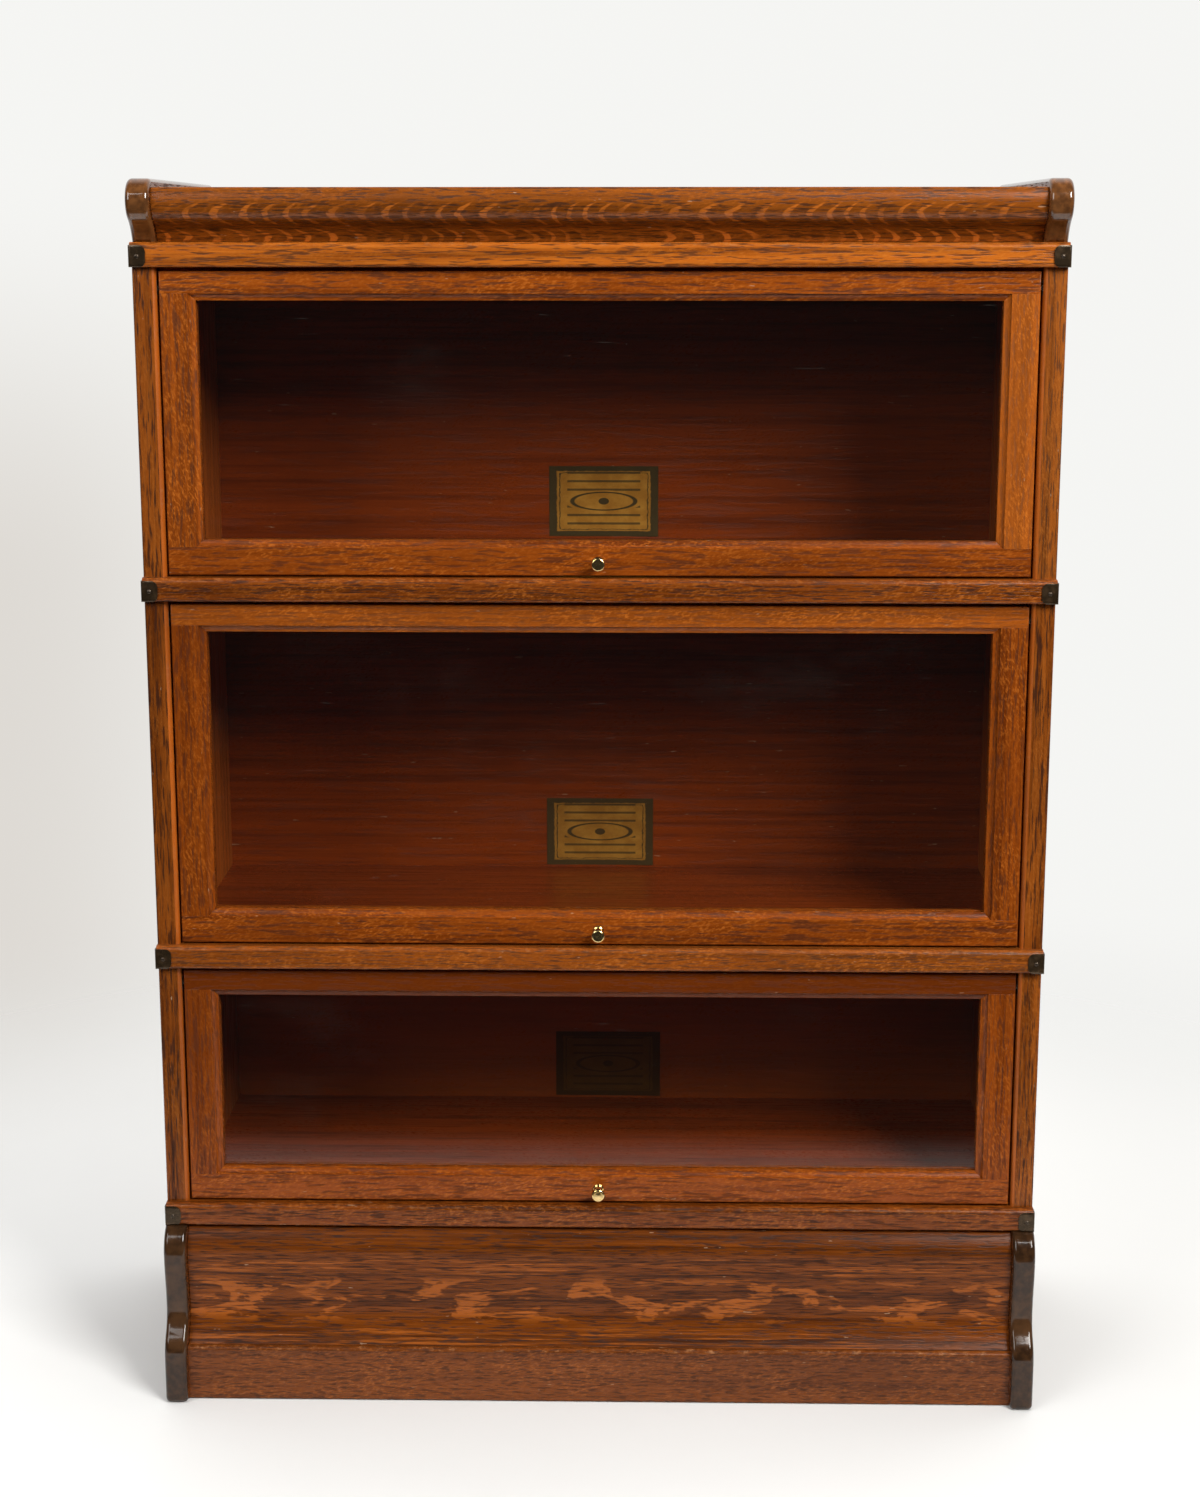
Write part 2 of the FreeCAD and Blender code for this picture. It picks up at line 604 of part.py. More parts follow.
def base_end():
    """Right-hand scroll end of the base, which stands on the floor."""
    x, toe = BASE_INNER, FRONT - FOOT_PROJECTION
    shoulder = (FOOT_PROJECTION, FOOT_SHOULDER_HEIGHT)
    flare = halfway((BASE_WAIST, BASE_WAIST_HEIGHT), shoulder)
    arcs, brow = base_scroll(x, 0, [flare, shoulder])
    toe_up, toe_in = V(x, toe, TOE_ROUND), V(x, toe + TOE_ROUND, 0)
    heel, back_top = V(x, BACK, 0), V(x, BACK, BASE_HEIGHT)
    edges = arcs + [line(V(x, toe, FOOT_SHOULDER_HEIGHT), toe_up),
                    quarter(toe_up, toe_in, V(x, toe, 0), TOE_ROUND),
                    line(toe_in, heel), line(heel, back_top), line(back_top, brow)]
    return round_front(prism(edges, V(SIDE_THICK, 0, 0)))


def base_ogee():
    """Shaped upper board of the base's front."""
    x, behind = -BASE_INNER, FRONT - (BASE_WAIST - BASE_FRONT_INSET) + OGEE_THICK
    arcs, brow = base_scroll(x, BASE_FRONT_INSET, [(OGEE_FLARE, PLINTH_HEIGHT)])
    tip = V(x, FRONT - OGEE_FLARE, PLINTH_HEIGHT)
    foot, top = V(x, behind, PLINTH_HEIGHT), V(x, behind, BASE_HEIGHT)
    return prism(arcs + [line(tip, foot), line(foot, top), line(top, brow)], V(2 * BASE_INNER, 0, 0))


def plinth():
    """Plain lower board of the base's front, with a rounded upper arris."""
    x, r = -BASE_INNER, PLINTH_TOP_ROUND
    face = FRONT - (FOOT_PROJECTION - BASE_FRONT_INSET)
    low, high, behind = PLINTH_FLOOR_GAP, PLINTH_HEIGHT, face + PLINTH_THICK
    a, b, c = V(x, behind, low), V(x, face, low), V(x, face, high - r)
    d, e = V(x, face + r, high), V(x, behind, high)
    edges = [line(a, b), line(b, c), quarter(c, d, V(x, face, high), r), line(d, e), line(e, a)]
    return prism(edges, V(2 * BASE_INNER, 0, 0))


def base_back_rail():
    return block(-BASE_INNER, BASE_INNER, BACK - BASE_BACK_THICK, BACK, BASE_BACK_FLOOR_GAP, BASE_HEIGHT)


# ---------------------------------------------------------------- the whole bookcase
def export_pair(stem, right):
    export(stem + "_right", right)
    export(stem + "_left", mirrored(right))


def export_section(section):
    name = section.name
    export_pair(name + "_side", side(section))
    export(name + "_bottom_board", bottom_board(section))
    export(name + "_back_panel", back_panel(section))
    export(name + "_front_rail", front_rail(section.foot))
    export(name + "_carriage_shoes", shoe(section), mirrored(shoe(section)))
    export(name + "_equalizer_bar", equalizer_bar(section))
    export(name + "_pivot_plates", pivot_plate(section), mirrored(pivot_plate(section)))
    top, bottom, stile = door_frame(section)
    export(name + "_door_top_rail", top)
    export(name + "_door_bottom_rail", bottom)
    export_pair(name + "_door_stile", stile)
    export(name + "_door_glass", glass(section))
    export(name + "_glass_beads", *glass_beads(section))
    export(name + "_door_knob", knob(section))


def main():
    os.makedirs("parts", exist_ok=True)
    for section in SECTIONS:
        export_section(section)
    tracks = [track(section) for section in SECTIONS]
    export("door_tracks", *tracks, *[mirrored(t) for t in tracks])
    export("paper_labels", *[label(section) for section in SECTIONS])
    feet = [section.foot for section in SECTIONS] + [CROWN_FOOT]
    bands = [band(foot) for foot in feet]
    export("corner_bands", *bands, *[mirrored(b) for b in bands])
    screws = [screw(seat, way) for foot in feet for seat, way in band_screw_places(foot)]
    export("band_screws", *screws, *[mirrored(s) for s in screws])
    export("crown_moulding", crown_moulding())
    export("crown_board", crown_board())
    export("crown_back_rail", crown_back_rail())
    export("crown_front_rail", front_rail(CROWN_FOOT))
    export_pair("crown_end", crown_end())
    export("base_ogee_board", base_ogee())
    export("base_plinth", plinth())
    export("base_back_rail", base_back_rail())
    export_pair("base_end", base_end())


main()
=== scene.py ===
# %% [markdown]
# # A sectional bookcase with glass doors
#
# Each section of this oak bookcase is a box with one door. The door swings up on two pins and then
# slides back over the books. The packed model holds the exact boards, so this file keeps their shapes
# and gives them what a plain model lacks: eased and worn edges, grain, polish, screws and glass.

import json
import math

import bmesh
import bpy
from mathutils import Matrix, Vector

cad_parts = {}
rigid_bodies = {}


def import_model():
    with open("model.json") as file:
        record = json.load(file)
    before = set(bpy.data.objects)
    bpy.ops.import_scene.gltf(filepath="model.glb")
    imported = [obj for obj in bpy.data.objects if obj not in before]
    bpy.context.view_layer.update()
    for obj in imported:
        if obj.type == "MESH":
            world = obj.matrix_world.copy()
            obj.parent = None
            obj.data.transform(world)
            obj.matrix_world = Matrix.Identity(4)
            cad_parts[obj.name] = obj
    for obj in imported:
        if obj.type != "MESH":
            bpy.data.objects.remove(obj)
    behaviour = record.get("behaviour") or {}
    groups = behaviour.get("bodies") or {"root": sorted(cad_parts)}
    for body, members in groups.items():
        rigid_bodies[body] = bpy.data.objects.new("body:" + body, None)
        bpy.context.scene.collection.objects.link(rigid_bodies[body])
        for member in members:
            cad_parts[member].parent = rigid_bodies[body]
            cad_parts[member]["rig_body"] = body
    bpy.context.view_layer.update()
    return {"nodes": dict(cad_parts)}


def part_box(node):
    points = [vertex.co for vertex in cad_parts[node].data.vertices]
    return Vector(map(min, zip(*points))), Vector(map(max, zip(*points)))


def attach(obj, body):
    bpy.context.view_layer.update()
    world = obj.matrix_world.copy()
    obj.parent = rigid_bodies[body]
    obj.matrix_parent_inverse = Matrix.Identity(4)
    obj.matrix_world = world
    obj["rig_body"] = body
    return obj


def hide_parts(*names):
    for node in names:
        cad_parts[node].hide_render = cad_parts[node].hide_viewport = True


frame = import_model()

# %% [markdown]
# ## Camera
#
# The view is from just below the height of the crown, close in, and tipped down a little. The camera
# could be aimed with a Track To constraint, but plain angles keep the view the same on every run.

# %% Camera
camera = bpy.data.objects.new("camera", bpy.data.cameras.new("camera"))
camera.data.sensor_width = 36.0
camera.data.lens = 59.06
camera.location = (0.0466, -2.4439, 1.14745)
camera.rotation_euler = (math.radians(78.17), 0.0, math.radians(1.12))
bpy.context.scene.collection.objects.link(camera)
bpy.context.scene.camera = camera
bpy.context.scene.view_settings.view_transform = "Standard"
print("camera distance", round(camera.location.length, 3))

# %% [markdown]
# ## A short way to write shader nodes
#
# A finish is a web of nodes, and sums between them are hard to read as a list of links. The class
# `Wire` stands for the output of a node, and gives it the signs + - * and **, so a sum on wires adds
# the Math nodes by itself. The class `Finish` is a material that adds any other node in one call.

# %% Wires and finishes
class Wire:
    """The output of a node, which can be used in sums."""

    def __init__(self, finish, socket):
        self.finish = finish
        self.socket = socket

    def __add__(self, other):
        return self.finish.sum("ADD", self, other)

    def __radd__(self, other):
        return self.finish.sum("ADD", other, self)

    def __sub__(self, other):
        return self.finish.sum("SUBTRACT", self, other)

    def __rsub__(self, other):
        return self.finish.sum("SUBTRACT", other, self)

    def __mul__(self, other):
        return self.finish.sum("MULTIPLY", self, other)

    def __rmul__(self, other):
        return self.finish.sum("MULTIPLY", other, self)

    def __pow__(self, other):
        return self.finish.sum("POWER", self, other)

    def __truediv__(self, other):
        return self.finish.sum("DIVIDE", self, other)


class Finish:
    """A material, and short calls that add nodes to it."""

    def __init__(self, name):
        self.material = bpy.data.materials.new(name)
        self.material.use_nodes = True
        self.tree = self.material.node_tree
        self.tree.nodes.clear()

    def node(self, kind, settings, values, output=0):
        """Adds a node: its settings first, then the values or wires of its sockets."""
        made = self.tree.nodes.new("ShaderNode" + kind)
        for name, value in settings.items():
            setattr(made, name, value)
        for name, value in values.items():
            if isinstance(value, Wire):
                self.tree.links.new(value.socket, made.inputs[name])
            else:
                made.inputs[name].default_value = value
        return Wire(self, made.outputs[output])

    def sum(self, operation, first, second):
        return self.node("Math", {"operation": operation}, {0: first, 1: second})

    def place(self):
        """Where a point is on the object, in metres."""
        return self.node("TexCoord", {}, {}, "Object")

    def stretch(self, vector, scale):
        return self.node("VectorMath", {"operation": "MULTIPLY"}, {0: vector, 1: scale})

    def noise(self, vector, scale, detail=3.0, roughness=0.55, distortion=0.0):
        values = {"Vector": self.stretch(vector, scale), "Scale": 1.0, "Detail": detail,
                  "Roughness": roughness, "Distortion": distortion}
        return self.node("TexNoise", {}, values)

    def rise(self, value, low, high):
        """0 below low and 1 above high, with a soft step between."""
        values = {"Value": value, "From Min": low, "From Max": high}
        return self.node("MapRange", {"interpolation_type": "SMOOTHSTEP"}, values)

    def tint(self, amount, under, over, way="MIX"):
        """The colour over laid on the colour under, by amount."""
        return self.node("Mix", {"data_type": "RGBA", "blend_type": way}, {0: amount, 6: under, 7: over}, 2)

    def own(self, name):
        """A number that the piece's faces carry."""
        return self.node("Attribute", {"attribute_name": name}, {}, "Fac")

    def relief(self, height, depth, strength=1.0):
        return self.node("Bump", {}, {"Height": height, "Distance": depth, "Strength": strength})

    def surface(self, values):
        return self.output(self.node("BsdfPrincipled", {}, values))

    def output(self, shader):
        made = self.tree.nodes.new("ShaderNodeOutputMaterial")
        self.tree.links.new(shader.socket, made.inputs["Surface"])
        return self.material


def paint(red, green, blue):
    return (red, green, blue, 1.0)


print("calls of a finish:", [name for name in vars(Finish) if not name.startswith("_")])

# %% [markdown]
# ## Quarter-sawn oak
#
# Quarter-sawn oak is cut so that the growth rings stand square to the face. It shows straight grain, short
# dark pores along it, and pale shiny ray flecks across it. The grain is noise that is stretched a long way
# along the board, and the pores are the peaks of a shorter one. The old varnish has gone unevenly dark, and
# wears through to paler wood on the edges that hands and books touch; that pale edge is also a painted
# highlight, where the rounded edges would catch the lamps.
#
# `turn` lays the grain along x, up z or along y. Every board carries two numbers: `board` moves the
# pattern so that no two boards are alike, and `tone` makes it darker or paler: mostly the dark stain it has
# lost, and on the lower back panel a painted reflection.

# %% Grain
ALONG_X = (0.0, 0.0, 0.0)
UP_Z = (0.0, math.radians(90.0), 0.0)
ALONG_Y = (0.0, 0.0, math.radians(90.0))


def grain_place(oak, turn):
    """Place on the board, with the grain along its first number."""
    number = oak.own("board")
    shift = oak.node("CombineXYZ", {}, {0: number * 7.0, 1: number * 3.1, 2: number * 5.3})
    moved = oak.node("VectorMath", {"operation": "ADD"}, {0: oak.place(), 1: shift})
    return oak.node("Mapping", {}, {"Vector": moved, "Rotation": turn})


def height_on_object(oak):
    return oak.node("SeparateXYZ", {}, {0: oak.place()}, 2)


print("turns of the grain", ALONG_X, UP_Z, ALONG_Y)

# %% [markdown]
# ## Three kinds of ray fleck
#
# On the narrow door rails and stiles, the rays are cut slantwise and show as a crowd of short dashes that
# lean across the grain. On the crown moulding, the round face cuts through them and leaves rows of
# crescents, one behind the other. The wide base board was cut nearly along them, so they lie flat as
# ragged blotches. Each kind is a small function that gives 1 on a fleck and 0 off it. The heights of the
# rows and bands come from the boxes of their boards.

# %% Heights of the rows and bands
crown_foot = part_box("crown_moulding")[0].z
ROUND_ROW = crown_foot + 0.0251
HOLLOW_ROW = crown_foot + 0.0036
ROUND_BEGINS = crown_foot + 0.0131
base_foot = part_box("base_ogee_board")[0].z
BLOTCH_BAND = base_foot + 0.0451
UPPER_STREAKS = base_foot + 0.0821
LOWER_STREAKS_AND_REFLECTION = base_foot + 0.0071
print("crescent rows at", round(HOLLOW_ROW, 4), round(ROUND_ROW, 4), "blotches at", round(BLOTCH_BAND, 4))

# %% Flecks
def short_flecks(oak, grain):
    """Short leaning dashes."""
    leaning = oak.node("Mapping", {}, {"Vector": grain, "Rotation": (0.0, 0.30, 0.30)})
    dashes = oak.noise(leaning, (110.0, 560.0, 560.0), 3.0, 0.6, 0.2)
    patch = oak.noise(grain, (9.0, 30.0, 30.0), 2.0)
    return oak.rise(dashes, 0.46, 0.68) * (0.35 + 0.65 * oak.rise(patch, 0.35, 0.65))


def crescent_flecks(oak, grain):
    """Rows of bowed flecks, one row on the round and one in the hollow under it."""
    along = oak.node("SeparateXYZ", {}, {0: grain}, 0)
    height = height_on_object(oak)
    ragged = oak.noise(grain, (40.0, 120.0, 120.0), 2.0, 0.5)
    spacing = oak.noise(grain, (5.0, 0.0, 0.0), 1.0)
    upper = (height - ROUND_ROW) / 0.0100
    lower = (height - HOLLOW_ROW) / 0.0085
    on_round = oak.rise(height, ROUND_BEGINS, ROUND_BEGINS + 0.002)
    bow = on_round * upper * upper + (1.0 - on_round) * lower * lower
    bend = bow * (0.7 - 1.3 * on_round)
    phase = along * 50.0 + spacing * 6.0 + bend + ragged * 0.45
    rows = oak.sum("SINE", phase * math.tau, 0.0)
    band = 1.0 - oak.rise(bow, 0.6, 1.5)
    patch = oak.noise(grain, (14.0, 30.0, 30.0), 2.0)
    thin = 0.42 + 0.35 * bow
    strong = oak.rise(rows - thin, 0.0, 0.35) * band * (0.2 + 0.8 * oak.rise(patch, 0.34, 0.56))
    return oak.sum("MAXIMUM", strong, 0.35 * short_flecks(oak, grain))


def blotch_flecks(oak, grain):
    """Ragged flat blotches across the middle of the board, and fine streaks elsewhere, paler in two bands;
    the lower band, on the foot of the curve, is also a painted reflection.
    """
    height = height_on_object(oak)
    middle = (height - BLOTCH_BAND) / 0.020
    band = 1.0 - oak.rise(middle * middle, 0.5, 1.9)
    shapes = oak.noise(grain, (15.0, 62.0, 50.0), 4.0, 0.55, 0.5)
    blotches = oak.rise(shapes, 0.510, 0.555) * (1.0 - 0.7 * oak.rise(shapes, 0.62, 0.68)) * band
    streaks = oak.rise(oak.noise(grain, (8.0, 330.0, 330.0), 4.0, 0.7), 0.48, 0.66)
    # The streaks are paler near two heights; near the foot of the curve this is a painted reflection as well
    # as grain.
    upper = (height - UPPER_STREAKS) / 0.010
    lower = (height - LOWER_STREAKS_AND_REFLECTION) / 0.009
    light = 1.0 - oak.rise(oak.sum("MINIMUM", upper * upper, lower * lower), 0.3, 1.8)
    return oak.sum("MAXIMUM", blotches, streaks * (0.18 + 0.8 * light))


print("kinds of fleck", short_flecks.__name__, crescent_flecks.__name__, blotch_flecks.__name__)

# %% [markdown]
# ## Laying up the oak
#
# The colour is built up as a finisher would do it: rings, fibres and flecks first, then dark filler in the
# pores, then clouds of stain, and last the wear and the small white nicks. One flat brown with a bump would
# be quicker, but old oak is never one brown. The same patterns set how rough the varnish is and how deep
# the bump goes, so a pore is dark, dull and sunk all at once.
#
# Each finish takes four tones: dark, middle, pale and bright. The top board and the backs get dull ones,
# because nobody polishes them.

# %% Oak
def oak_finish(name, turn, tones, flecks, fleck_amount=0.75, pores=(50.0, 430.0), pore_amount=0.6,
               wear_and_sheen_amount=0.35, gloss=0.20, shine=0.35):
    oak = Finish(name)
    dark, middle, pale, bright = [paint(*tone) for tone in tones]
    black = paint(*[part * 0.22 for part in tones[0]])
    grain = grain_place(oak, turn)
    rings = oak.noise(grain, (1.8, 110.0, 110.0), 4.0, 0.65)
    fibres = oak.noise(grain, (16.0, 480.0, 480.0), 3.0, 0.6)
    clouds = oak.noise(oak.place(), (5.0, 5.0, 7.0), 3.0, 0.6)
    pits = oak.rise(oak.noise(grain, (pores[0], pores[1], pores[1]), 2.0, 0.5), 0.50, 0.64)
    rays = flecks(oak, grain)
    colour = oak.tint(oak.rise(rings, 0.30, 0.62), dark, middle)
    colour = oak.tint(oak.rise(fibres, 0.4, 0.75) * 0.4, colour, pale)
    colour = oak.tint(rays * fleck_amount, colour, bright)
    colour = oak.tint(pits * pore_amount, colour, black)
    colour = oak.tint(oak.rise(clouds, 0.50, 0.80) * 0.45, colour, dark)
    # The tone darkens or pales the board: its own stain, and on the lower back panel a painted reflection.
    colour = oak.tint(1.0 - oak.own("tone"), colour, dark)
    colour = oak.tint(oak.own("tone") - 1.0, colour, bright)
    # Pale edges: scuffed varnish, and a painted highlight along the rounded edges.
    scuffs = oak.noise(oak.place(), (110.0, 110.0, 220.0), 4.0, 0.7)
    worn = oak.own("worn") * oak.rise(scuffs, 0.52, 0.70) * wear_and_sheen_amount
    colour = oak.tint(worn, colour, paint(0.36, 0.15, 0.05))
    nicks = oak.rise(oak.noise(grain, (60.0, 300.0, 300.0), 2.0, 0.6), 0.735, 0.765)
    colour = oak.tint(nicks * 0.5, colour, paint(0.50, 0.33, 0.20))
    height = rings * 0.3 + fibres * 0.2 - pits * 0.8 + rays * 0.15 - nicks * 0.5
    rough = gloss + clouds * 0.10 + pits * 0.20 - rays * 0.05 + worn * 0.25
    values = {"Base Color": colour, "Roughness": rough, "Specular IOR Level": shine,
              "Normal": oak.relief(height, 0.00025, 0.5)}
    return oak.surface(values)


DOOR_TONES = ((0.105, 0.0185, 0.0012), (0.275, 0.056, 0.0036), (0.37, 0.088, 0.0080), (0.54, 0.148, 0.018))
RAIL_TONES = ((0.050, 0.0100, 0.0010), (0.215, 0.046, 0.0036), (0.36, 0.098, 0.011), (0.52, 0.155, 0.024))
SIDE_TONES = ((0.060, 0.0120, 0.0012), (0.255, 0.062, 0.0060), (0.39, 0.118, 0.017), (0.48, 0.155, 0.028))
CROWN_TONES = ((0.112, 0.0275, 0.0022), (0.228, 0.057, 0.0048), (0.31, 0.088, 0.010), (0.60, 0.158, 0.019))
TOP_RAIL_TONES = ((0.150, 0.030, 0.0020), (0.450, 0.108, 0.0080), (0.58, 0.170, 0.018), (0.62, 0.200, 0.028))
BASE_TONES = ((0.042, 0.0095, 0.0012), (0.135, 0.031, 0.0028), (0.26, 0.068, 0.008), (0.42, 0.110, 0.015))
PLINTH_TONES = ((0.075, 0.0175, 0.0025), (0.160, 0.039, 0.0050), (0.24, 0.066, 0.011), (0.34, 0.100, 0.020))
INSIDE_TONES = ((0.120, 0.0170, 0.0008), (0.280, 0.0420, 0.0015), (0.36, 0.060, 0.0025), (0.42, 0.085, 0.005))
# The inside faces of the sides: pale wood, made paler still as painted light where the crown and door rails
# keep the lamps off them.
WALL_TONES_WITH_PAINTED_LIGHT = ((0.200, 0.0420, 0.0030), (0.440, 0.1000, 0.0080), (0.52, 0.130, 0.013), (0.56, 0.150, 0.018))
END_TONES = ((0.045, 0.0105, 0.0020), (0.120, 0.030, 0.0050), (0.20, 0.060, 0.011), (0.30, 0.095, 0.018))
BACK_TONES = ((0.14, 0.056, 0.019), (0.24, 0.105, 0.038), (0.31, 0.15, 0.060), (0.36, 0.175, 0.075))

oak_rails = oak_finish("oak_door_rails", ALONG_X, DOOR_TONES, short_flecks, shine=0.25)
oak_stiles = oak_finish("oak_door_stiles", UP_Z, DOOR_TONES, short_flecks, shine=0.25)
oak_fronts = oak_finish("oak_section_rails", ALONG_X, RAIL_TONES, short_flecks, fleck_amount=0.6,
                        pores=(55.0, 600.0), pore_amount=0.75, shine=0.28)
oak_sides = oak_finish("oak_sides", UP_Z, SIDE_TONES, short_flecks, fleck_amount=0.3,
                       pores=(42.0, 560.0), pore_amount=0.8, shine=0.25)
oak_crown = oak_finish("oak_crown", ALONG_X, CROWN_TONES, crescent_flecks, fleck_amount=0.66,
                       pores=(70.0, 600.0), pore_amount=0.75)
oak_crown_rail = oak_finish("oak_crown_rail", ALONG_X, TOP_RAIL_TONES, short_flecks, fleck_amount=0.3,
                            pores=(55.0, 560.0), pore_amount=0.8, shine=0.25)
oak_base = oak_finish("oak_base", ALONG_X, BASE_TONES, blotch_flecks, fleck_amount=0.66,
                      pores=(50.0, 600.0), pore_amount=0.7, shine=0.20)
oak_plinth = oak_finish("oak_plinth", ALONG_X, PLINTH_TONES, short_flecks, fleck_amount=0.65,
                        pores=(80.0, 560.0), wear_and_sheen_amount=0.7, shine=0.26)
oak_inside = oak_finish("oak_inside", ALONG_X, INSIDE_TONES, short_flecks, fleck_amount=0.15,
                        pores=(20.0, 260.0), pore_amount=0.2, wear_and_sheen_amount=0.3, gloss=0.25)
# Paler inside walls: pale wood, and partly painted light.
oak_inside_up_painted_light = oak_finish("oak_inside_up_painted_light", UP_Z, WALL_TONES_WITH_PAINTED_LIGHT, short_flecks, fleck_amount=0.15,
                           pores=(20.0, 260.0), pore_amount=0.2, wear_and_sheen_amount=0.3, gloss=0.3)
oak_top = oak_finish("oak_top", ALONG_X, RAIL_TONES, short_flecks, fleck_amount=0.5,
                     pores=(55.0, 600.0), pore_amount=0.7, gloss=0.50, shine=0.03)
oak_ends = oak_finish("oak_ends", ALONG_Y, END_TONES, short_flecks, fleck_amount=0.6,
                      pores=(45.0, 500.0), pore_amount=0.8, gloss=0.22, shine=0.28)
oak_backs = oak_finish("oak_backs", ALONG_X, BACK_TONES, short_flecks, fleck_amount=0.25,
                       pores=(26.0, 430.0), pore_amount=0.45, wear_and_sheen_amount=0.3, gloss=0.5)
print("oak finishes", len([m for m in bpy.data.materials if m.name.startswith("oak_")]))

# %% [markdown]
# ## Dark scroll wood
#
# The scroll-shaped end boards show mostly end grain, which drinks the stain and comes out nearly black
# under a thick glossy varnish. The varnish lies in soft waves, which bend the shine, and fine scratches
# break it. The crown's ends are the browner ones, because they are out of reach of feet and mops.

# %% Scroll wood
def scroll_finish(name, dark, brown, pale, varnish):
    wood = Finish(name)
    grain = grain_place(wood, ALONG_Y)
    ends = wood.noise(grain, (12.0, 150.0, 150.0), 4.0, 0.6)
    clouds = wood.noise(wood.place(), (22.0, 22.0, 22.0), 3.0, 0.6)
    scratches = wood.rise(wood.noise(wood.place(), (520.0, 520.0, 40.0), 3.0, 0.7), 0.70, 0.76)
    colour = wood.tint(wood.rise(ends, 0.35, 0.7), paint(*dark), paint(*brown))
    colour = wood.tint(wood.rise(clouds, 0.48, 0.75) * 0.6, colour, paint(*pale))
    colour = wood.tint(scratches * 0.3, colour, paint(0.26, 0.16, 0.09))
    rough = 0.04 + ends * 0.07 + clouds * 0.05 + scratches * 0.2
    normal = wood.relief(clouds * 1.0 + ends * 0.15 - scratches * 0.3, 0.0004, 0.5)
    return wood.surface({"Base Color": colour, "Roughness": rough, "Normal": normal,
                         "Specular IOR Level": 0.36, "Coat Weight": varnish, "Coat Roughness": 0.03})


crown_scroll_wood = scroll_finish("crown_scroll_wood", (0.075, 0.028, 0.009), (0.150, 0.056, 0.016),
                                  (0.230, 0.092, 0.028), 0.9)
base_scroll_wood = scroll_finish("base_scroll_wood", (0.022, 0.010, 0.0045), (0.048, 0.021, 0.008),
                                 (0.085, 0.038, 0.015), 0.1)
print("scroll wood nodes", len(base_scroll_wood.node_tree.nodes))

# %% [markdown]
# ## Metals
#
# The corner bands are steel under baked black-brown lacquer, chipped on the edges; the pale bare colour there
# is also a painted highlight on the bands' corners. The door gear is bare rolled steel. The knobs are
# polished brass, with brown tarnish left in the hollows.

# %% Metals
def metal_finish(name, base, marks, bare, rough, metal, grain_scale):
    steel = Finish(name)
    spots = steel.noise(steel.place(), (90.0, 90.0, 90.0), 4.0, 0.65)
    lines = steel.noise(steel.place(), grain_scale, 3.0, 0.6)
    colour = steel.tint(steel.rise(spots, 0.45, 0.75), paint(*base), paint(*marks))
    worn = steel.own("worn") * steel.rise(spots, 0.34, 0.52)
    colour = steel.tint(worn, colour, paint(*bare))
    roughness = rough + spots * 0.14 + lines * 0.06
    normal = steel.relief(lines * 0.4 + spots * 0.6, 0.0002, 0.5)
    values = {"Base Color": colour, "Roughness": roughness, "Metallic": metal + worn * (1.0 - metal),
              "Normal": normal}
    return steel.surface(values)


# The pale bare colour on the bands' edges is chipped lacquer and a painted highlight on their corners.
band_steel = metal_finish("band_lacquer", (0.045, 0.028, 0.014), (0.105, 0.063, 0.032), (0.46, 0.37, 0.27),
                          0.14, 0.60, (60.0, 60.0, 300.0))
gear_steel = metal_finish("gear_steel", (0.28, 0.27, 0.25), (0.12, 0.10, 0.08), (0.50, 0.49, 0.46),
                          0.32, 0.9, (400.0, 30.0, 400.0))
screw_steel = metal_finish("screw_steel", (0.10, 0.075, 0.055), (0.05, 0.032, 0.02), (0.42, 0.38, 0.33),
                           0.26, 0.8, (300.0, 300.0, 300.0))
brass = metal_finish("polished_brass", (0.78, 0.50, 0.17), (0.42, 0.22, 0.06), (0.85, 0.62, 0.28),
                     0.10, 1.0, (300.0, 300.0, 300.0))
print("metals", band_steel.name, gear_steel.name, screw_steel.name, brass.name)

# %% [markdown]
# ## Old glass
#
# A thin pane could be a glass shader, but light would then have to find its way through two bent surfaces
# and the shelves behind would fill with noise. A clear shader mixed with a mirror one is as bright and
# far calmer. The mirror share grows towards grazing angles. A faint ripple bends the reflections, and
# dust gathers in smears.

# %% Glass
def glass_finish():
    pane = Finish("old_glass")
    facing = pane.node("LayerWeight", {}, {"Blend": 0.5}, "Facing")
    ripple = pane.noise(pane.place(), (9.0, 9.0, 3.0), 2.0)
    smear = pane.rise(pane.noise(pane.place(), (5.0, 5.0, 8.0), 5.0, 0.7), 0.55, 0.85)
    lines = pane.rise(pane.noise(pane.place(), (26.0, 26.0, 420.0), 2.0, 0.6), 0.72, 0.78)
    normal = pane.relief(ripple, 0.0006, 0.5)
    clear = pane.node("BsdfTransparent", {}, {"Color": paint(0.96, 0.965, 0.95)})
    mirror = pane.node("BsdfGlossy", {}, {"Color": paint(1.0, 1.0, 1.0), "Roughness": 0.02, "Normal": normal})
    film = pane.node("BsdfDiffuse", {}, {"Color": paint(0.62, 0.57, 0.50)})
    body = pane.node("MixShader", {}, {0: 0.035 + 0.9 * facing ** 5.0, 1: clear, 2: mirror})
    dusty = pane.node("MixShader", {}, {0: 0.0008 + smear * 0.006 + lines * 0.02, 1: body, 2: film})
    return pane.output(dusty)


glass = glass_finish()
print("glass nodes", len(glass.node_tree.nodes))

# %% [markdown]
# ## Paper labels
#
# A printed paper is pasted inside each section. Here it is a plain one: a dark border, an oval rosette and
# ruled lines, on tan paper that has browned from its edges. The lowest one has gone as brown as the wood
# behind it, which the number `tone` on its faces says. Its pattern follows the sheet's own UV map, so
# it stays on the sheet wherever the sheet is pasted.

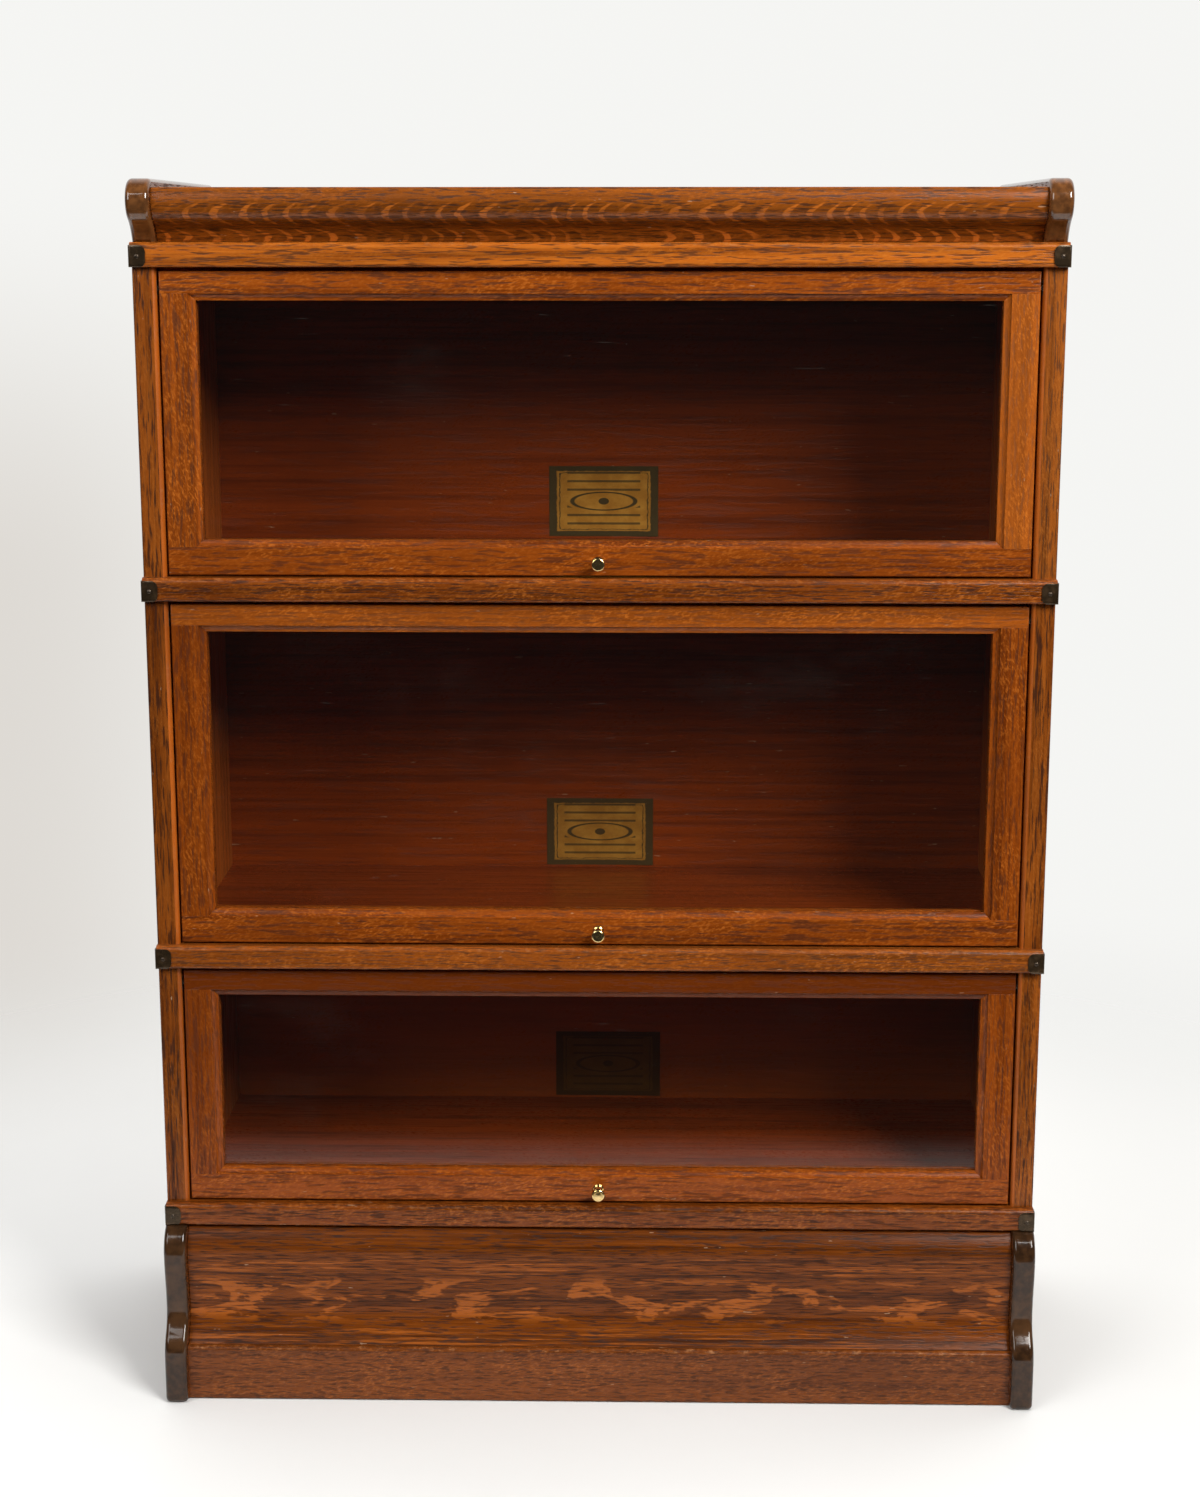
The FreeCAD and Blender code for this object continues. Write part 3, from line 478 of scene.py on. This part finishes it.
# %% Paper
def paper_finish():
    paper = Finish("label_paper")
    spot = paper.node("UVMap", {}, {})
    across = paper.node("SeparateXYZ", {}, {0: spot}, 0) - 0.5
    up = paper.node("SeparateXYZ", {}, {0: spot}, 1) - 0.5
    side = across ** 2.0
    height = up ** 2.0
    ragged = paper.noise(spot, (22.0, 16.0, 1.0), 3.0, 0.6)
    edge = paper.sum("MAXIMUM", side, height) + 0.03 * (ragged - 0.5)
    border = paper.rise(edge, 0.180, 0.188)
    line = paper.rise(edge, 0.158, 0.161) - paper.rise(edge, 0.165, 0.168)
    oval = side * 5.0 + height * 26.0
    rosette = paper.rise(oval, 0.34, 0.38) - paper.rise(oval, 0.46, 0.50)
    heart = 1.0 - paper.rise(side * 60.0 + height * 60.0, 0.12, 0.16)
    waves = paper.node("TexWave", {"bands_direction": "Y"}, {"Vector": spot, "Scale": 2.6}, 1)
    rules = paper.rise(waves, 0.78, 0.9) * paper.rise(oval, 0.60, 0.66)
    rules = rules * (1.0 - paper.rise(side, 0.11, 0.115))
    ink = paper.sum("MAXIMUM", paper.sum("MAXIMUM", border, line), rosette)
    ink = paper.sum("MAXIMUM", ink, paper.sum("MAXIMUM", rules * 0.85, heart))
    stain = paper.noise(spot, (5.0, 4.0, 1.0), 4.0, 0.6)
    sheet = paper.tint(paper.rise(stain, 0.35, 0.7), paint(0.36, 0.155, 0.018), paint(0.50, 0.24, 0.035))
    sheet = paper.tint(paper.rise(edge, 0.1, 0.25) * 0.4, sheet, paint(0.28, 0.12, 0.02))
    colour = paper.tint(ink * 0.9, sheet, paint(0.020, 0.024, 0.012))
    colour = paper.tint(1.0 - paper.own("tone"), colour, paint(0.085, 0.030, 0.004))
    normal = paper.relief(stain, 0.0004, 0.4)
    return paper.surface({"Base Color": colour, "Roughness": 0.75 + stain * 0.15, "Normal": normal,
                          "Specular IOR Level": 0.12})


label_paper = paper_finish()
print("paper nodes", len(label_paper.node_tree.nodes))

# %% [markdown]
# ## Every board has its own tone
#
# Boards from different trees took the stain differently, so a tone goes with each one: 1 is the plain
# finish, less than 1 is darker, and more than 1 is paler, mostly where a board has lost stain. The lower back
# panel's pale tone is a painted reflection of the floor in the lower pane. They could be random, but a
# list puts the pale and dark boards where they are on the real bookcase.

# %% Tones of the boards
SECTIONS = ("lower", "middle", "upper")
TONES_AND_PAINTED_LIGHT = {
    "upper_side_left": 0.90, "upper_side_right": 1.1, "upper_front_rail": 0.90,
    "upper_door_bottom_rail": 0.80, "upper_door_stile_left": 1.05, "upper_door_stile_right": 1.30,
    "upper_back_panel": 0.75, "upper_bottom_board": 0.8,
    "middle_side_left": 0.75, "middle_side_right": 0.90, "middle_front_rail": 1.10,
    "middle_door_top_rail": 1.20, "middle_door_bottom_rail": 0.85, "middle_door_stile_left": 0.68,
    "middle_door_stile_right": 0.83, "middle_back_panel": 0.75, "middle_bottom_board": 0.75,
    "lower_side_left": 0.88, "lower_front_rail": 0.70, "lower_door_top_rail": 0.15,
    "lower_door_bottom_rail": 0.78, "lower_door_stile_left": 0.60, "lower_door_stile_right": 0.75,
    # Paler as a painted reflection: the milky veil of the floor mirrored in the lower pane.
    "lower_back_panel": 1.5,
    "crown_front_rail": 1.05, "crown_board": 0.75, "crown_back_rail": 0.65, "base_back_rail": 0.60}
eased_boards = []
print("boards with a tone of their own", len(TONES_AND_PAINTED_LIGHT))

# %% [markdown]
# ## Copies of the boards with whole faces
#
# A node's mesh is loose triangles, which the bevel operator can't round. So it is copied, its corners are
# joined with remove_doubles, and dissolve_limit makes the flat faces whole again. Where two pieces of one
# node touch, that leaves a face buried between them, which is taken out so that the copy is a closed skin.

# %% Whole copies
def joined_copy(node):
    """The node's mesh as a bmesh of whole faces, without the faces buried where two of its solids touch."""
    form = bmesh.new()
    form.from_mesh(frame["nodes"][node].data)
    bmesh.ops.remove_doubles(form, verts=form.verts, dist=0.00001)
    bmesh.ops.dissolve_limit(form, angle_limit=math.radians(0.4), verts=form.verts, edges=form.edges)
    buried = [face for face in form.faces if all(len(edge.link_faces) > 2 for edge in face.edges)]
    bmesh.ops.delete(form, geom=buried, context="FACES_ONLY")
    return form


rail_copy = joined_copy("middle_door_bottom_rail")
print("whole faces of a door rail", len(rail_copy.faces))
rail_copy.free()

# %% [markdown]
# ## From a bmesh to a piece
#
# Every piece ends in the same way: it becomes an object, gets its finish, and rides on a body of the
# bookcase. A Weighted Normal modifier keeps the broad faces flat to the light and the narrow rounds soft.
# It could be left out, but then the rounds would shade the flat faces beside them.

# %% Finished pieces
SMOOTH_BELOW = math.radians(42.0)


def finished(form, name, materials, body, even_light=True):
    """Makes the bmesh an object that rides on a body."""
    mesh = bpy.data.meshes.new(name)
    form.to_mesh(mesh)
    form.free()
    for material in materials:
        mesh.materials.append(material)
    mesh.shade_smooth()
    mesh.set_sharp_from_angle(angle=SMOOTH_BELOW)
    piece = bpy.data.objects.new(name, mesh)
    bpy.context.scene.collection.objects.link(piece)
    if even_light:
        even = piece.modifiers.new("even light", "WEIGHTED_NORMAL")
        even.keep_sharp = True
    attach(piece, body)
    return piece


print("edges sharper than", round(math.degrees(SMOOTH_BELOW)), "degrees stay sharp")

# %% [markdown]
# ## Boards with eased edges
#
# A hand never finds a sharp edge on an old bookcase. The bevel operator gives each board's sharp edges a
# narrow round. The faces of that round carry the number `worn`, which the finish reads to paint
# them paler: the varnish scuffed through, and a painted highlight along the edge. A board whose rounds are
# already in the model is not bevelled again: there, `slanted` finds the round faces, which get the same
# pale paint. Some boards show two finishes, such as a side board, which is brown and glossy outside
# and pale inside, so a test on each face can choose the second one.

# %% Easing
BEVEL_ABOVE = math.radians(40.0)
SECOND_FINISH_FADE = 0.35


def number_board(form, node):
    """Gives every face the board's own number, between 0 and 1, and its tone. Faces of a second finish
    never show beside the front, so their tone just differs a little from board to board."""
    number = (len(eased_boards) * 0.618) % 1.0
    board = form.faces.layers.float.new("board")
    tone = form.faces.layers.float.new("tone")
    for face in form.faces:
        face[board] = number
        face[tone] = 1.0 - SECOND_FINISH_FADE * number if face.material_index else TONES_AND_PAINTED_LIGHT.get(node, 1.0)


def eased(node, material, ease=0.0009, worn_and_lit_faces=None, other=None, chosen=None):
    """A board with its sharp edges rounded by ease, and with the finish other where chosen(face) says so.
    The rounds, and the faces that worn_and_lit_faces(face) picks, carry scuffed varnish and a painted
    highlight."""
    form = joined_copy(node)
    worn = form.faces.layers.float.new("worn")
    if ease:
        sharp = [edge for edge in form.edges
                 if len(edge.link_faces) == 2 and edge.calc_face_angle() > BEVEL_ABOVE]
        made = bmesh.ops.bevel(form, geom=sharp, offset=ease, offset_type="OFFSET", segments=2, profile=0.5,
                               affect="EDGES", clamp_overlap=True, material=-1)
        for face in made["faces"]:
            face[worn] = 1.0
    if worn_and_lit_faces:
        for face in form.faces:
            face[worn] = max(face[worn], worn_and_lit_faces(face))
    for face in form.faces:
        face.material_index = 1 if chosen and chosen(face) else 0
    number_board(form, node)
    materials = [material, other] if chosen else [material]
    piece = finished(form, "eased_" + node, materials, frame["nodes"][node]["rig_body"])
    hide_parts(node)
    eased_boards.append(piece)
    return piece


def slanted(face):
    """1 on the faces of a rounded edge, 0 on flat ones."""
    straight = max(abs(part) for part in face.normal)
    return 1.0 if straight < 0.97 else 0.0


def faces_books(face):
    return face.normal.x * face.calc_center_median().x < -0.1


def faces_wall(face):
    return face.normal.y > 0.5


def broad_face(face):
    return abs(face.normal.x) > 0.95


print("edges sharper than", round(math.degrees(BEVEL_ABOVE)), "degrees are eased")

# %% [markdown]
# ## All the boards
#
# The three sections are alike, so one loop makes their boards. Door stiles and glass beads have very fine
# mouldings, and a wide round would run into them, so theirs is narrower.

# %% Section boards
FINE_EASE = 0.0003
PANEL_EASE = 0.0018

for section in SECTIONS:
    for rail in ("top_rail", "bottom_rail"):
        eased(f"{section}_door_{rail}", oak_rails)
    for hand in ("left", "right"):
        eased(f"{section}_door_stile_{hand}", oak_stiles, FINE_EASE)
        eased(f"{section}_side_{hand}", oak_sides, 0.0, slanted, oak_inside_up_painted_light, faces_books)
    eased(f"{section}_front_rail", oak_fronts, 0.0, slanted)
    eased(f"{section}_bottom_board", oak_inside, 0.0)
    eased(f"{section}_back_panel", oak_inside, PANEL_EASE, None, oak_backs, faces_wall)
    eased(f"{section}_glass_beads", oak_rails, FINE_EASE)
print("section boards", len(eased_boards))

# %% [markdown]
# ## Crown, base and bands
#
# These are made once each. The scroll ends show dark end grain on their shaped edges and plain oak on
# their broad faces. The corner bands are steel, but a pressed edge is soft too, so they are eased as well.

# %% Crown, base and bands
eased("crown_front_rail", oak_crown_rail, 0.0, slanted)
eased("crown_moulding", oak_crown, 0.0006)
eased("crown_board", oak_top)
eased("crown_back_rail", oak_backs)
eased("base_back_rail", oak_backs)
eased("base_ogee_board", oak_base, 0.0006)
eased("base_plinth", oak_plinth, 0.0, slanted)
for hand in ("left", "right"):
    eased(f"crown_end_{hand}", crown_scroll_wood, 0.0, None, oak_ends, broad_face)
    eased(f"base_end_{hand}", base_scroll_wood, 0.0, None, oak_ends, broad_face)
eased("corner_bands", band_steel, 0.0008)
print("eased boards", len(eased_boards), "faces", sum(len(p.data.polygons) for p in eased_boards))

# %% [markdown]
# ## Brass knobs
#
# A small turned knob sits low in the middle of each door. On a lathe it is one profile turned round, and
# here it is too: a few points for the profile, spun once round with the spin operator. The smoothing
# modifier rounds the profile between its points.

# %% Knobs
MM = 0.001
KNOB_PROFILE = ((0.0, 5.7), (0.9, 5.7), (1.5, 4.9), (2.0, 3.3), (6.0, 2.7), (9.0, 3.1), (11.0, 4.6),
                (12.6, 6.6), (14.4, 7.0), (16.4, 6.95), (17.9, 6.2), (18.5, 5.0), (18.4, 4.2), (18.6, 2.0),
                (18.7, 0.0))
KNOB_NECK_END = 11.0 * MM


def turned(profile, centre, outward, steps):
    """A bmesh of the profile, given as (along, radius) in mm, spun about the line outward from centre."""
    form = bmesh.new()
    side = outward.orthogonal().normalized()
    ring = [form.verts.new(centre + (outward * along + side * radius) * MM) for along, radius in profile]
    lines = [form.edges.new(pair) for pair in zip(ring, ring[1:])]
    bmesh.ops.spin(form, geom=ring + lines, cent=centre, axis=outward, angle=math.tau, steps=steps,
                   use_merge=True)
    bmesh.ops.remove_doubles(form, verts=form.verts, dist=0.00002)
    bmesh.ops.recalc_face_normals(form, faces=form.faces)
    return form


for section in SECTIONS:
    low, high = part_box(f"{section}_door_knob")
    door_low, door_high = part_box(f"{section}_door_bottom_rail")
    seat = Vector(((low.x + high.x) / 2, door_low.y, (low.z + high.z) / 2))
    knob = turned(KNOB_PROFILE, seat, Vector((0.0, -1.0, 0.0)), 32)
    bmesh.ops.contextual_create(knob, geom=[edge for edge in knob.edges if edge.is_boundary])
    worn = knob.faces.layers.float.new("worn")
    for face in knob.faces:
        face[worn] = 1.0 if seat.y - face.calc_center_median().y > KNOB_NECK_END else 0.0
    piece = finished(knob, f"turned_{section}_knob", [brass], f"{section}_door", False)
    smooth = piece.modifiers.new("smooth", "SUBSURF")
    smooth.levels = 2
    smooth.render_levels = 2
    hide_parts(f"{section}_door_knob")
    print("knob", section, "faces", len(piece.data.polygons))

# %% [markdown]
# ## Slotted screws
#
# Round-headed screws hold the bands. A head is a low dome turned like the knob. Two cuts with the bisect
# operator mark out the slot, and the strip between them is pushed in. Each slot is turned to a different
# angle, because nobody lines them up.

# %% Screws
HEAD_PROFILE = ((-0.4, 0.0), (-0.4, 2.15), (0.0, 2.15), (0.35, 1.95), (0.65, 1.45), (0.86, 0.8), (0.9, 0.0))
HEAD_HEIGHT = HEAD_PROFILE[-1][0] * MM
SLOT_HALF = 0.38 * MM
SLOT_DEPTH = 0.6 * MM


def islands(form):
    """The loose parts of a bmesh, each as a list of its corner places."""
    waiting = set(form.verts)
    found = []
    while waiting:
        part = []
        edge_of_search = [waiting.pop()]
        while edge_of_search:
            corner = edge_of_search.pop()
            part.append(corner.co.copy())
            for edge in corner.link_edges:
                other = edge.other_vert(corner)
                if other in waiting:
                    waiting.discard(other)
                    edge_of_search.append(other)
        found.append(part)
    return found


def screw_seats():
    """Where each screw's head meets its band, and which way it points."""
    seats = []
    for part in islands(joined_copy("band_screws")):
        low = Vector([min(corner[axis] for corner in part) for axis in range(3)])
        high = Vector([max(corner[axis] for corner in part) for axis in range(3)])
        middle = (low + high) / 2
        if high.x - low.x > high.y - low.y:
            outward = Vector((math.copysign(1.0, middle.x), 0.0, 0.0))
            tip = high.x if middle.x > 0 else low.x
            seats.append((Vector((tip - outward.x * HEAD_HEIGHT, middle.y, middle.z)), outward))
        else:
            seats.append((Vector((middle.x, low.y + HEAD_HEIGHT, middle.z)), Vector((0.0, -1.0, 0.0))))
    return sorted(seats, key=lambda seat: tuple(seat[0]))


def slotted_head(seat, outward, turn):
    head = turned(HEAD_PROFILE, seat, outward, 20)
    across = Matrix.Rotation(turn, 3, outward) @ outward.orthogonal().normalized()
    for sign in (-1.0, 1.0):
        bmesh.ops.bisect_plane(head, geom=head.verts[:] + head.edges[:] + head.faces[:], dist=0.000001,
                               plane_co=seat + across * SLOT_HALF * sign, plane_no=across)
    strip = [face for face in head.faces
             if abs((face.calc_center_median() - seat).dot(across)) < SLOT_HALF * 0.9
             and (face.calc_center_median() - seat).dot(outward) > 0.0001]
    pushed = bmesh.ops.extrude_face_region(head, geom=strip)
    corners = [part for part in pushed["geom"] if isinstance(part, bmesh.types.BMVert)]
    bmesh.ops.translate(head, vec=-outward * SLOT_DEPTH, verts=corners)
    bmesh.ops.delete(head, geom=strip, context="FACES")
    return head


screws = bmesh.new()
seats = screw_seats()
for count, (seat, outward) in enumerate(seats):
    head = slotted_head(seat, outward, count * 1.9)
    spare = bpy.data.meshes.new("head")
    head.to_mesh(spare)
    head.free()
    screws.from_mesh(spare)
    bpy.data.meshes.remove(spare)
piece = finished(screws, "slotted_band_screws", [screw_steel], "case")
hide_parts("band_screws")
print("screws", len(seats), "faces", len(piece.data.polygons))

# %% [markdown]
# ## Pasted labels
#
# Each label is a thin sheet. The create_grid operator makes it with its UV map, it is stood up against the
# back panel, and one lower corner is lifted a little by a smooth curl, as old paste lets go at the corners.

# %% Labels
LABEL_TONES = (0.15, 0.75, 0.95)
PAPER_THICK = 0.2 * MM
CURL_START = 0.62
CURL_LIFT = 10.0 * MM


def label_sheet(form, low, high, clean):
    """Adds one sheet to the bmesh, over the face of the box from low to high; clean is its tone."""
    grid = bmesh.ops.create_grid(form, x_segments=14, y_segments=9, size=0.5, calc_uvs=True)
    tone = form.faces.layers.float["tone"]
    for corner in grid["verts"]:
        near = max(0.0, corner.co.x - corner.co.y - CURL_START)
        across = low.x + (corner.co.x + 0.5) * (high.x - low.x)
        up = low.z + (corner.co.y + 0.5) * (high.z - low.z)
        corner.co = (across, low.y - CURL_LIFT * near * near - PAPER_THICK, up)
        for face in corner.link_faces:
            face[tone] = clean


labels = bmesh.new()
labels.loops.layers.uv.new("UVMap")
labels.faces.layers.float.new("tone")
papers = sorted(islands(joined_copy("paper_labels")), key=lambda part: part[0].z)
for part, clean in zip(papers, LABEL_TONES):
    low = Vector([min(corner[axis] for corner in part) for axis in range(3)])
    high = Vector([max(corner[axis] for corner in part) for axis in range(3)])
    label_sheet(labels, low, high, clean)
back = bmesh.ops.extrude_face_region(labels, geom=labels.faces[:], use_keep_orig=True)
bmesh.ops.translate(labels, vec=(0.0, PAPER_THICK, 0.0),
                    verts=[part for part in back["geom"] if isinstance(part, bmesh.types.BMVert)])
bmesh.ops.recalc_face_normals(labels, faces=labels.faces)
piece = finished(labels, "pasted_labels", [label_paper], "case", False)
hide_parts("paper_labels")
print("label faces", len(piece.data.polygons))

# %% [markdown]
# ## Finishes on the remaining parts
#
# The panes, tracks, shoes, bars and plates keep their exact shapes. They only need their finish, which goes
# into the material slot that each already has.

# %% Finish the rest
def finish_node(node, material):
    part = frame["nodes"][node]
    if part.material_slots:
        part.material_slots[0].material = material
    else:
        part.data.materials.append(material)


steel_nodes = ["door_tracks"]
for section in SECTIONS:
    finish_node(f"{section}_door_glass", glass)
    steel_nodes += [f"{section}_{gear}" for gear in ("carriage_shoes", "equalizer_bar", "pivot_plates")]
for node in steel_nodes:
    finish_node(node, gear_steel)
print("panes", len(SECTIONS), "steel parts", len(steel_nodes))

# %% [markdown]
# ## Floor
#
# A pale floor fades away at its rim into an even pale background, so no line shows where it ends. It also
# ends soon in front of the bookcase, so only the lowest pane mirrors it. A curved backdrop would hide its
# edge too, but it would also throw pale light into every pane. The side that the stronger lamp lights is a
# little greyer, which evens out the light on it.

# %% Floor
FLOOR_RADIUS = 2.6
RIM_FADE = (0.55, 1.9)
FRONT_FADE = (0.60, 0.86)


def floor_finish():
    paper = Finish("floor_paper")
    place = paper.place()
    reach = paper.node("VectorMath", {"operation": "LENGTH"}, {0: place}, "Value")
    sideways = paper.node("SeparateXYZ", {}, {0: place}, 0)
    towards_front = 0.0 - paper.node("SeparateXYZ", {}, {0: place}, 1)
    mottle = paper.noise(place, (3.0, 3.0, 3.0), 4.0, 0.6)
    colour = paper.tint(mottle, paint(0.745, 0.745, 0.735), paint(0.785, 0.785, 0.775))
    lit_side = paper.rise(sideways, 0.10, 0.75)
    colour = paper.tint(lit_side * 0.75, colour, paint(0.61, 0.61, 0.60))
    dull = paper.node("BsdfDiffuse", {}, {"Color": colour})
    clear = paper.node("BsdfTransparent", {}, {"Color": paint(1.0, 1.0, 1.0)})
    gone = paper.sum("MAXIMUM", paper.rise(reach, *RIM_FADE), paper.rise(towards_front, *FRONT_FADE))
    return paper.output(paper.node("MixShader", {}, {0: gone, 1: dull, 2: clear}))


disc = bmesh.new()
bmesh.ops.create_circle(disc, cap_ends=True, segments=96, radius=FLOOR_RADIUS)
mesh = bpy.data.meshes.new("floor")
disc.to_mesh(mesh)
disc.free()
mesh.materials.append(floor_finish())
floor = bpy.data.objects.new("floor", mesh)
bpy.context.scene.collection.objects.link(floor)
print("floor radius", FLOOR_RADIUS)

# %% [markdown]
# ## Lamps
#
# Two large soft lamps stand in front, the stronger one to the right, and a third hangs above. The third is
# kept out of the reflections, or its wide white image would lie on every varnished edge.

# %% Lamps
def lamp(name, place, aim, size, power, tint):
    light = bpy.data.lights.new(name, "AREA")
    light.shape = "SQUARE"
    light.size = size
    light.energy = power
    light.color = tint
    holder = bpy.data.objects.new(name, light)
    holder.location = place
    holder.rotation_euler = (Vector(aim) - Vector(place)).to_track_quat("-Z", "Y").to_euler()
    bpy.context.scene.collection.objects.link(holder)
    return holder


lamp("key", (1.7, -2.3, 2.5), (0.0, 0.0, 0.6), 1.3, 118.0, (1.0, 0.985, 0.96))
lamp("fill", (-1.9, -2.3, 2.3), (0.0, 0.0, 0.6), 1.7, 44.0, (1.0, 0.99, 0.98))
above = lamp("top", (0.1, 0.3, 3.2), (0.0, 0.0, 0.0), 2.4, 96.0, (1.0, 1.0, 1.0))
above.visible_glossy = False
print("lamps", len(bpy.data.lights))

# %% [markdown]
# ## Background
#
# The camera sees pale paper all round, with a soft shade low on the left. What the varnish and the glass
# see is another matter: pale behind the bookcase, and a dark room in front, which keeps the colours deep
# instead of milky. A Light Path node tells the two apart.

# %% Background
world = bpy.data.worlds.new("studio")
world.use_nodes = True
bpy.context.scene.world = world


class Sky(Finish):
    """The background's nodes, written the same way as a finish."""

    def __init__(self, background):
        self.tree = background.node_tree
        self.tree.nodes.clear()

    def output(self, shader):
        made = self.tree.nodes.new("ShaderNodeOutputWorld")
        self.tree.links.new(shader.socket, made.inputs["Surface"])


sky = Sky(world)
towards = sky.node("TexCoord", {}, {}, "Generated")
sideways = sky.node("SeparateXYZ", {}, {0: towards}, 0)
behind = sky.node("SeparateXYZ", {}, {0: towards}, 1)
upwards = sky.node("SeparateXYZ", {}, {0: towards}, 2)
downwards = 0.0 - upwards
shade = sky.rise(0.0 - sideways, 0.10, 0.26) * sky.rise(downwards, -0.03, 0.14)
shade = shade * (1.0 - sky.rise(downwards, 0.30, 0.42)) * sky.rise(behind, 0.8, 0.93)
paper_colour = sky.tint(shade, paint(0.915, 0.915, 0.895), paint(0.73, 0.70, 0.66))
room_colour = sky.tint(sky.rise(behind, 0.0, 0.5), paint(0.02, 0.02, 0.02), paint(0.75, 0.75, 0.74))
seen = sky.node("Background", {}, {"Color": paper_colour})
room = sky.node("Background", {}, {"Color": room_colour})
camera_ray = sky.node("LightPath", {}, {}, "Is Camera Ray")
sky.output(sky.node("MixShader", {}, {0: camera_ray, 1: room, 2: seen}))
print("background nodes", len(world.node_tree.nodes))

# %% [markdown]
